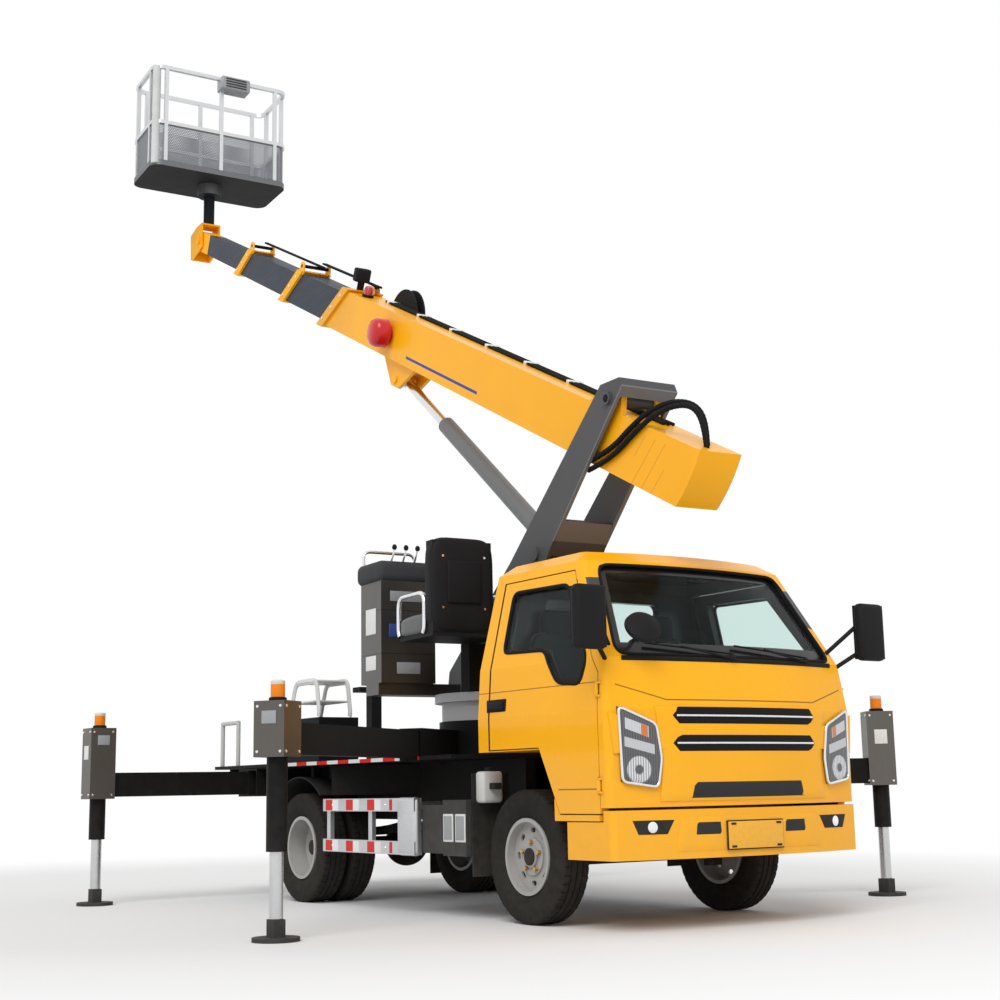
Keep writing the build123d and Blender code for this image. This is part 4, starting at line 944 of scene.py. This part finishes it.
class CHERRY_OT_tyres(bpy.types.Operator):
    """Treaded tyres in place of the plain ones"""

    bl_idname = "cherry.tyres"
    bl_label = "Tyres"

    def execute(self, context):
        count, depth = 6 * settings().tread_blocks, settings().tread_depth
        # Sidewall from bead to shoulder, then the tread's face with the edges of its grooves, as offset and radius
        wall = np.array([(66, 215.3), (78, 230), (90, 257), (97, 285), (101, 300), (100, 308), (99, 335), (96, 360),
                         (92, 374), (85, 384), (78, 388)]) / 1000
        face = np.array([66, 56, 45, 43.5, 36.5, 35, 20, 4.5, 3]) / 1000
        offset = np.concatenate([wall[:, 0], face, -face[::-1], -wall[::-1, 0]])
        radius = np.concatenate([wall[:, 1], np.full(2 * len(face), wheel_radius), wall[::-1, 1]])
        wide = np.abs(offset)
        groove = ((wide < 0.0035) | ((wide > 0.036) & (wide < 0.044))) & (radius > 0.387)
        notch = (np.arange(count) % 6 == 0)[:, None] & (wide > 0.0445) & (radius > 0.37)
        deep = radius - depth * (groove | notch) * np.where(radius < 0.386, 0.5, 1.0)
        ahead, above = ring(1.0, count).T[..., None] * deep
        for axle, x, places in (("front", 0.0, (0.740,)), ("rear", rear_axle, (0.805, 0.570))):
            for side, sign in sides:
                kit = Kit()
                for y in places:
                    points = put(truck, rows(x + ahead, sign * y + offset, wheel_radius + above))
                    kit.add("tyre_rubber", grid(points, round_rows=True))
                obj = kit.make(f"{axle}_tread_{side}", f"{axle}_wheel_{side}", "tyre", 50)
                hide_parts(f"{axle}_tyre_{side}")
        return {"FINISHED"}


class CHERRY_OT_wheel_fittings(bpy.types.Operator):
    """Wheel nuts and hub caps"""

    bl_idname = "cherry.wheel_fittings"
    bl_label = "Wheel fittings"

    def execute(self, context):
        angle = np.arange(5) * 2 * np.pi / 5 + 0.3
        for axle, x, face, circle, hub, cap in (("front", 0.0, 0.785, 0.085, 0.802, 0.050),
                                                ("rear", rear_axle, 0.7005, 0.103, 0.795, 0.052)):
            for side, sign in sides:
                kit, out = Kit(), (0.0, sign, 0.0)
                for spot in rows(x + circle * np.cos(angle), sign * face, wheel_radius + circle * np.sin(angle)):
                    kit.nut("brass", spot, out, 0.0155, 0.024)
                kit.turn("black_plastic", (x, sign * hub, wheel_radius), out, [
                    (-0.002, cap), (0.008, cap), (0.014, 0.8 * cap), (0.017, 0.35 * cap), (0.0175, 0.002)])
                kit.make(f"{axle}_nuts_{side}", f"{axle}_wheel_{side}", "wheel_steel")
        return {"FINISHED"}


class CHERRY_OT_cab_trim(bpy.types.Operator):
    """Nose, bumper, plate, seals, wipers, handles and mirrors of the cab"""

    bl_idname = "cherry.cab_trim"
    bl_label = "Cab trim"

    def execute(self, context):
        kit = Kit()
        # Skin of the nose over the plain grille, then the slots, the lower mesh and the lamps on it
        kit.add("plain_yellow", across_front(nose, [(0.625, 0.70), (0.60, 0.93), (0.645, 1.215)], -0.004, 0.0125))
        for z in (1.165, 1.014):
            edge = [(0.50, z - 0.048), (0.545, z), (0.50, z + 0.048)]
            kit.add("grille_black", across_front(nose, edge, 0.004, 0.0165))
            bright = nose(np.linspace(-0.52, 0.52, 45), z, 0.018)
            kit.add("bright_trim", carried(bright, ring(1.0) * (0.006, 0.0065)))
        kit.add("grille_black", across_front(nose, [(0.430, 0.715), (0.405, 0.805)], 0.004, 0.0165))
        for _, sign in sides:
            first = np.array([(0.645, 0.777), (0.620, 0.930), (0.650, 1.120)]) * (sign, 1)
            last = np.array([(0.858, 0.808), (0.872, 1.213)]) * (sign, 1)
            kit.add("lamp_units", panel(nose, first, last, -0.004, 0.024, 21))
            rim = loop(np.vstack([first, last[::-1]]), 0.03, 0.012)
            kit.add("bright_trim", tube(nose(*rim.T, 0.018), 0.0085, 10, closed=True))
        # Bumper: raised middle, fog lamps in dark beds, and tow covers
        kit.add("plain_yellow", across_front(bar_face, [(0.545, 0.430), (0.505, 0.614)], -0.004, 0.006))
        for _, sign in sides:
            for finish, first, last, high, count in (
                    ("black_plastic", [(0.595, 0.525), (0.550, 0.600)], [(0.772, 0.525), (0.806, 0.600)], 0.005, 15),
                    ("grille_black", [(0.232, 0.508), (0.240, 0.592)], [(0.422, 0.508), (0.412, 0.592)], 0.009, 11)):
                first, last = np.array([first, last]) * (sign, 1)
                kit.add(finish, panel(bar_face, first, last, -0.004, high, count))
            kit.add("mirror_glass", turned([(-0.004, 0.030), (0.010, 0.030), (0.014, 0.020), (0.015, 0.002)],
                                           bar_face(sign * 0.690, 0.563), (1.0, sign * 0.18, 0.0), 28))
        # Windscreen seal, sill and wipers, and a small hatch on the roof
        screen = loop([(-0.825, 1.505), (0.825, 1.505), (0.690, 2.055), (-0.690, 2.055)], 0.07, 0.02)
        kit.add("rubber", tube(nose(*screen.T), 0.009, 10, closed=True))
        sill = nose(np.linspace(-0.80, 0.80, 61), 1.483, 0.001)
        kit.add("black_plastic", carried(sill, ring(1.0) * (0.009, 0.014)))
        for y in (-0.06, 0.56):
            arm = nose(np.linspace(y, y - 0.34, 24), np.linspace(1.492, 1.556, 24), 0.024)
            blade = nose(np.linspace(y + 0.02, y - 0.56, 40), np.linspace(1.520, 1.572, 40), 0.013)
            hub = [(-0.012, 0.016), (0.026, 0.016), (0.032, 0.009)]
            kit.add("black_plastic", tube(arm, 0.007, 8), carried(blade, ring(1.0, 8) * (0.010, 0.0055)),
                    turned(hub, nose(y, 1.492), (0.86, 0.0, 0.5), 16))
        roof = touch("cab_shell", put(truck, (0.30, 0.0, 3.0)), -up)[0]
        kit.add("black_plastic", soft_box(roof + 0.012 * up, (0.07, 0.06, 0.024), 0.02))
        kit.make("cab_trim", "truck", "black_plastic")

        kit = Kit()
        kit.box("plate_yellow", (1.076, 0.0, 0.508), (0.005, 0.205, 0.074), 0.004)
        kit.box("black_plastic", (1.070, 0.0, 0.508), (0.005, 0.212, 0.081), 0.004)
        for y in (-0.17, 0.17):
            for z in (0.446, 0.570):
                kit.box("black_plastic", (1.081, y, z), (0.004, 0.018, 0.006), 0.003)
        kit.make("front_plate", "truck", "cab_paint")

        pane = loop([(-0.100, 1.585), (0.330, 1.570), (0.480, 1.370), (0.700, 1.350), (0.755, 1.490), (0.455, 1.945),
                     (-0.100, 1.955)], 0.05, 0.012)
        for side, sign in sides:
            kit = Kit()
            kit.add("rubber", tube(flank(*pane.T, sign, -0.001), 0.011, 10, closed=True))
            for out, half, radius in ((0.006, (0.085, 0.012, 0.024), 0.010), (-0.003, (0.105, 0.006, 0.040), 0.006)):
                kit.add("black_plastic", soft_box(flank(-0.135, 1.27, sign, out), half, radius))
            kit.make(f"door_trim_{side}", f"door_{side}", "black_plastic")

        kit = Kit()
        for y in (-1.080, 1.080):
            kit.box("black_plastic", (1.006, y, 1.690), (0.040, 0.106, 0.176), 0.034)
            kit.box("mirror_glass", (0.966, y, 1.690), (0.003, 0.088, 0.150), 0.0028)
        # Round near-view mirror over the right front corner, on its stay
        spot, facing = (1.008, -0.713, 1.643), (-0.80, 0.25, -0.54)
        kit.turn("black_plastic", spot, facing, [
            (-0.045, 0.010), (-0.040, 0.060), (-0.020, 0.098), (0.0, 0.105), (0.006, 0.100)])
        kit.turn("mirror_glass", spot, facing, [(0.004, 0.097), (0.010, 0.070), (0.012, 0.003)])
        stay = [(0.845, -0.80, 1.505), (0.97, -0.79, 1.53), (1.035, -0.72, 1.655)]
        kit.bar("black_plastic", stay, 0.010, step=0.01)
        kit.make("mirror_heads", "truck", "black_plastic")
        return {"FINISHED"}


class CHERRY_OT_seats(bpy.types.Operator):
    """Crowned pads of the cab seats and of the operator's seat"""

    bl_idname = "cherry.seats"
    bl_label = "Seats"

    def execute(self, context):
        crown = settings().pad_crown
        upright = truck[1][::-1]
        kit = Kit()
        for y in (-0.38, 0.38):
            kit.add("cab_cloth", cushion(put(truck, (0.075, y, 1.110)), (0.275, 0.235, 0.070), truck[1], crown),
                    cushion(put(truck, (-0.222, y, 1.455)), (0.285, 0.230, 0.045), upright, crown),
                    cushion(put(truck, (-0.222, y, 1.800)), (0.085, 0.140, 0.045), upright, 0.5 * crown, seams=1))
        obj = kit.make("cab_seat_pads", "truck", "seat_cloth", 60)
        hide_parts("cab_seats")
        kit = Kit()
        kit.add("pad_grey", cushion(put(upper, (-0.383, -0.640, 1.855)), (0.225, 0.236, 0.070), upper[1], crown))
        obj = kit.make("operator_pad", "turret", "black_plastic", 60)
        kit = Kit()
        kit.add("seat_black", cushion(put(upper, (-0.622, -0.640, 2.105)), (0.315, 0.236, 0.066), upper[1][::-1],
                                      crown, seams=1))
        obj = kit.make("operator_back", "turret", "black_plastic", 60)
        return {"FINISHED"}


class CHERRY_OT_leg_fittings(bpy.types.Operator):
    """Bolts, labels and lamp rings on the leg covers"""

    bl_idname = "cherry.leg_fittings"
    bl_label = "Leg fittings"

    def execute(self, context):
        places = zip(legs, ((-0.160, -2.360), (-0.160, 2.360), (-3.703, -2.110), (-3.537, 2.110)))
        for leg, (x, y) in places:
            # Which way the cover faces comes from its own surface, met by a line from the front and outside
            aside, level = np.array((2.0, 1.2 * np.sign(y), 0.0)), 1.14
            facing = touch(f"leg_cover_{leg}", put(truck, (x, y, level)) + aside, -aside)[1]
            side = np.cross(up, facing)
            foot = put(truck, (x, y, 0.0))
            low = 1.005 if leg == "front_right" else 0.792
            kit = Kit()
            for out, across in ((facing, side), (side, facing), (-facing, side), (-side, facing)):
                for a in (-0.072, 0.072):
                    kit.add("bright_trim", *(nut(foot + 0.0945 * out + a * across + z * up, out, 0.009, 0.006)
                                             for z in (low, 1.25)))
            for finish, out, across, z, high in (("plate_grey", facing, side, 1.19, 0.035),
                                                 ("plate_white", -side, facing, 1.10, 0.05)):
                kit.add(finish, soft_box(foot + 0.096 * out + z * up, (0.0025, 0.045, high), 0.002, (out, across, up)))
            kit.turn("black_plastic", (x, y, 1.279), up, [
                (0.0, 0.050), (0.018, 0.050), (0.022, 0.044), (0.022, 0.0405)])
            kit.turn("plate_white", (x, y, 1.279), up, [
                (0.105, 0.0405), (0.112, 0.0405), (0.117, 0.030), (0.118, 0.004)])
            kit.make(f"leg_fittings_{leg}", f"leg_{leg}", "stainless")
        return {"FINISHED"}


class CHERRY_OT_side_fittings(bpy.types.Operator):
    """Labels, bottle, bolts, guard caps, tail lamps and the frame over the tool box"""

    bl_idname = "cherry.side_fittings"
    bl_label = "Side fittings"

    def execute(self, context):
        kit = Kit()
        for x in (-0.555, -0.695):
            kit.box("plate_white", (x, -0.931, 0.55), (0.058, 0.003, 0.085), 0.0028)
            kit.box("plate_grey", (x, -0.9345, 0.55), (0.046, 0.002, 0.072), 0.0018)
        kit.box("white_plastic", (-0.425, -0.80, 0.795), (0.048, 0.075, 0.095), 0.022)
        kit.turn("black_plastic", (-0.425, -0.80, 0.885), up, [(0.0, 0.026), (0.026, 0.026), (0.03, 0.02)], 20)
        kit.box("black_plastic", (-0.355, -0.80, 0.80), (0.030, 0.03, 0.02), 0.006)
        for _, sign in sides:
            for x in (-1.45, -2.20):
                for z in (0.4175, 0.6925):
                    kit.nut("bright_trim", (x, sign * 0.9495, z), (0, sign, 0), 0.006, 0.004)
            for y, finish in ((0.58, "plate_white"), (0.68, "amber_lens"), (0.78, "red_lens")):
                kit.box(finish, (-4.205, sign * y, 0.915), (0.03, 0.049, 0.05), 0.012)
            kit.box("black_plastic", (-4.190, sign * 0.68, 0.920), (0.024, 0.155, 0.058), 0.010)
            kit.box("guard_alloy", (-1.190, sign * 0.922, 0.555), (0.115, 0.031, 0.186), 0.028)
        hoop = arch([(-3.19, -0.80, 1.325), (-3.08, -0.80, 1.60), (-2.74, -0.80, 1.60), (-2.69, -0.80, 1.325)], 0.06)
        for y in (0.0, 0.26):
            line = put(truck, dense(hoop + (0.0, y, 0.0), 0.015))
            kit.add("white_plastic", carried(line, ring(1.0) * (0.024, 0.012)))
        kit.box("white_plastic", (-2.91, -0.67, 1.60), (0.16, 0.145, 0.010), 0.008)
        kit.box("white_plastic", (-2.945, -0.67, 1.45), (0.18, 0.145, 0.008), 0.006)
        kit.make("side_fittings", "truck", "black_plastic")
        return {"FINISHED"}


class CHERRY_OT_station_fittings(bpy.types.Operator):
    """Labels, hood, levers, rails and bolts at the operator's station"""

    bl_idname = "cherry.station_fittings"
    bl_label = "Station fittings"

    def execute(self, context):
        kit = Kit(upper)
        for finish, y, z, wide, high in (
                ("plate_grey", -0.640, 2.120, 0.140, 0.036), ("plate_white", -0.560, 1.900, 0.075, 0.060),
                ("plate_blue", -0.740, 1.880, 0.050, 0.045), ("plate_grey", -0.640, 1.620, 0.090, 0.040)):
            kit.box(finish, (0.134, y, z), (0.003, wide, high), 0.0025)
        for z, high in ((1.95, 0.09), (1.66, 0.05)):
            kit.box("plate_white", (0.30, -0.851, z), (0.08, 0.003, high), 0.0025)
        kit.box("dash_grey", (0.31, -0.640, 2.295), (0.195, 0.235, 0.075), 0.045)
        for y in (-0.50, -0.59, -0.68, -0.77):
            kit.bar("bright_trim", [(0.16, y, 2.33), (0.10, y, 2.41), (0.085, y, 2.45)], 0.007, 8)
            kit.turn("black_plastic", (0.082, y, 2.452), up, [
                (-0.014, 0.010), (-0.004, 0.017), (0.012, 0.017), (0.024, 0.008)], 16)
        kit.bar("bright_trim", arch([(0.44, -0.44, 2.34), (0.44, -0.44, 2.47), (0.44, -0.84, 2.47),
                                     (0.44, -0.84, 2.34)], 0.05), 0.012)
        for y in (-0.873, -0.287):
            kit.bar("bright_trim", arch([(-0.19, y, 1.775), (-0.19, y, 2.06), (-0.57, y, 2.06), (-0.57, y, 1.775)],
                                        0.08, 9), 0.015, 12)
        kit.box("black_plastic", (-0.690, -0.640, 2.12), (0.012, 0.125, 0.140), 0.010)
        for y in (-0.795, -0.485):
            for z in (1.95, 2.29):
                kit.nut("bright_trim", (-0.672, y, z), -back, 0.011, 0.018)
        kit.make("station_fittings", "turret", "column_paint")
        return {"FINISHED"}


class CHERRY_OT_boom_fittings(bpy.types.Operator):
    """Pipes, clips, bolts, siren, reel, lamps, ears and rods on the boom sections"""

    bl_idname = "cherry.boom_fittings"
    bl_label = "Boom fittings"

    def execute(self, context):
        radius = settings().pipe_radius
        level = boom_top + radius
        kit = Kit(boom)
        for y in (0.035, 0.070, 0.105):
            kit.bar("rubber", [(-0.30, -0.060, y), (0.0, level, y), (4.05, level, y)], radius, step=0.05)
        for t in np.arange(0.25, 4.0, 0.62):
            kit.box("bright_trim", (t, level, 0.070), (0.018, radius + 0.006, 0.062), 0.006)
        self.bolts(kit, *collars["main"])
        for _, sign in sides:
            kit.nut("frame_black", (0.0, 0.0, sign * 0.212), sign * left, 0.030, 0.022)
        guide = rounded([(4.39, -0.06), (4.53, -0.06), (4.50, 0.003), (4.42, 0.003)], 0.02)
        kit.add("plain_yellow", *(slab(guide, boom, y, 0.010) for y in (0.060, 0.112)))
        kit.turn("frame_black", (4.46, -0.007, 0.061), left, [(0.0, 0.010), (0.060, 0.010)], 16)
        # Siren on the right, reel on the left, beacon and lamp on top
        kit.turn("alarm_red", (3.48, -0.262, -0.150), -left, [
            (-0.002, 0.075), (0.030, 0.075), (0.034, 0.118), (0.120, 0.118), (0.150, 0.100), (0.166, 0.060),
            (0.168, 0.003)], 40)
        kit.turn("black_plastic", (3.94, -0.200, 0.150), left, [
            (-0.002, 0.060), (0.012, 0.275), (0.024, 0.275), (0.028, 0.190), (0.078, 0.190), (0.082, 0.275),
            (0.096, 0.275), (0.104, 0.060), (0.108, 0.003)], 48)
        beacon = (4.235, boom_top, -0.060)
        kit.turn("black_plastic", beacon, boom_up, [(-0.002, 0.050), (0.022, 0.050), (0.024, 0.044)], 28)
        kit.turn("red_lens", beacon, boom_up, [(0.022, 0.042), (0.070, 0.042), (0.092, 0.030), (0.100, 0.003)], 28)
        kit.box("black_plastic", (4.52, -0.010, -0.020), (0.012, 0.050, 0.030), 0.006)
        kit.box("black_plastic", (4.53, 0.075, -0.020), (0.040, 0.060, 0.070), 0.016)
        kit.box("mirror_glass", (4.57, 0.075, -0.020), (0.004, 0.048, 0.058), 0.003)
        kit.make("boom_pipes", "boom_main", "black_plastic")
        for section, reach, rods in (("second", 1.40, (0.075, 0.102)), ("third", 1.70, (0.025, 0.046))):
            kit, (head, high, half) = Kit(boom), collars[section]
            top = collar_top(high)
            self.bolts(kit, head, high, half)
            ear = rounded([(head - 0.145, top - 0.03), (head - 0.015, top - 0.03), (head - 0.035, top + 0.085),
                           (head - 0.115, top + 0.085)], 0.03)
            kit.add("plain_yellow", *(slab(ear, boom, y, 0.012) for y in (0.012 - half, half - 0.024)))
            kit.turn("frame_black", (head - 0.075, top + 0.045, 0.010 - half), left,
                     [(0.0, 0.016), (2 * half - 0.02, 0.016)], 16)
            for y in rods:
                kit.bar("rubber", [(head - reach, top + 0.094, y), (head - 0.06, top + 0.094, y)], 0.010, step=0.2)
            kit.make(f"boom_{section}_gear", f"boom_{section}", "slate_paint")
        return {"FINISHED"}

    def bolts(self, kit, head, high, half):
        """Three bolts on each side of a slanted collar."""
        for down in (0.15 * high, 0.5 * high, 0.85 * high):
            for _, sign in sides:
                t, n = head - 0.065 + collar_slant * down, boom_middle + high / 2 - down
                kit.nut("bright_trim", (t, n, sign * (half - 0.001)), sign * left, 0.012, 0.010)


class CHERRY_OT_hoses(bpy.types.Operator):
    """Hoses from the column into the boom's tail"""

    bl_idname = "cherry.hoses"
    bl_label = "Hoses"

    def execute(self, context):
        across = settings().hose_diameter
        # Each hose: along the upper works, to the left and up, from between the column's plates into the tail's top
        low = [(-1.500, -0.172, 2.760), (-1.753, -0.172, 2.783), (-2.009, -0.172, 2.893), (-2.195, -0.165, 2.960),
               (-2.382, -0.140, 2.990), (-2.517, -0.090, 2.962), (-2.554, -0.050, 2.841), (-2.543, -0.030, 2.700)]
        high = [(-1.500, -0.172, 2.815), (-1.753, -0.172, 2.838), (-2.000, -0.172, 2.945), (-2.170, -0.150, 3.010),
                (-2.340, -0.090, 3.035), (-2.450, -0.020, 2.990), (-2.485, 0.020, 2.875), (-2.470, 0.030, 2.735)]
        for k, route in enumerate((low, high)):
            points = put(upper, route)
            curve = bpy.data.curves.new(f"hose_line_{k}", "CURVE")
            curve.dimensions, curve.resolution_u = "3D", 24
            spline = curve.splines.new("NURBS")
            spline.points.add(len(points) - 1)
            spline.points.foreach_set("co", np.c_[points, np.ones(len(points))].ravel())
            spline.order_u, spline.use_endpoint_u = 3, True
            line = bpy.data.objects.new(f"hose_line_{k}", curve)
            mesh = bpy.data.meshes.new_from_object(line)
            path = np.empty(3 * len(mesh.vertices))
            mesh.vertices.foreach_get("co", path)
            path = dense(path.reshape(-1, 3), 0.008)
            bpy.data.objects.remove(line)
            bpy.data.curves.remove(curve)
            bpy.data.meshes.remove(mesh)
            wrap = 1 + 0.05 * np.sin(np.arange(len(path)) * 2 * np.pi / 3)
            kit = Kit()
            kit.add("rubber", carried(path, ring(across / 2)[None] * wrap[:, None, None]))
            obj = kit.make(f"tail_hose_{k}", None, "black_plastic", 60)
            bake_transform(obj)
        return {"FINISHED"}


class CHERRY_OT_basket_fittings(bpy.types.Operator):
    """Perforated sheets, corner post and control box on the basket"""

    bl_idname = "cherry.basket_fittings"
    bl_label = "Basket fittings"

    def execute(self, context):
        kit = Kit(basket)
        around = loop([(-0.364, -0.764), (0.364, -0.764), (0.364, 0.764), (-0.364, 0.764)], 0.13, 0.03, 8)
        sheet = [(-0.002, -0.205), (0.002, -0.205), (0.002, 0.205), (-0.002, 0.205)]
        kit.add("perforated_sheet", carried(put(basket, rows(*around.T, 0.213)), sheet, closed=True))
        for y in (0.315, -0.315):
            kit.box("perforated_sheet", (0.362, y, 0.548), (0.002, 0.30, 0.092), 0.0018)
        kit.bar("white_plastic", [(-0.333, 0.733, -0.04), (-0.333, 0.733, 1.085)], 0.044, 24, 0.1)
        kit.box("plate_grey", (-0.385, -0.130, 1.010), (0.090, 0.165, 0.075), 0.018)
        for k in range(4):
            kit.box("dash_grey", (-0.476, -0.130, 0.965 + 0.030 * k), (0.006, 0.12, 0.008), 0.005)
        kit.make("basket_sheets", "basket", "alloy")
        return {"FINISHED"}


class CHERRY_PT_steps(bpy.types.Panel):
    """The settings, and the steps in their order"""

    bl_idname = "CHERRY_PT_steps"
    bl_label = "Cherry picker"
    bl_space_type = "VIEW_3D"
    bl_region_type = "UI"
    bl_category = "Cherry picker"

    def draw(self, context):
        for key in CherrySettings.__annotations__:
            self.layout.prop(context.scene.cherry, key)
        for step in steps:
            self.layout.operator(step.bl_idname)


steps = (
    CHERRY_OT_stage, CHERRY_OT_finishes, CHERRY_OT_tyres, CHERRY_OT_wheel_fittings, CHERRY_OT_cab_trim, CHERRY_OT_seats,
    CHERRY_OT_leg_fittings, CHERRY_OT_side_fittings, CHERRY_OT_station_fittings, CHERRY_OT_boom_fittings,
    CHERRY_OT_hoses, CHERRY_OT_basket_fittings,
)


def register():
    """Makes the settings, the steps and the panel known."""
    for kind in (CherrySettings, *steps, CHERRY_PT_steps):
        bpy.utils.register_class(kind)
    bpy.types.Scene.cherry = bpy.props.PointerProperty(type=CherrySettings)


def unregister():
    """Takes them away again."""
    del bpy.types.Scene.cherry
    for kind in reversed((CherrySettings, *steps, CHERRY_PT_steps)):
        bpy.utils.unregister_class(kind)


def main():
    """Runs every step in order."""
    register()
    for step in steps:
        group, name = step.bl_idname.split(".")
        getattr(getattr(bpy.ops, group), name)()


if __name__ == "__main__":
    main()
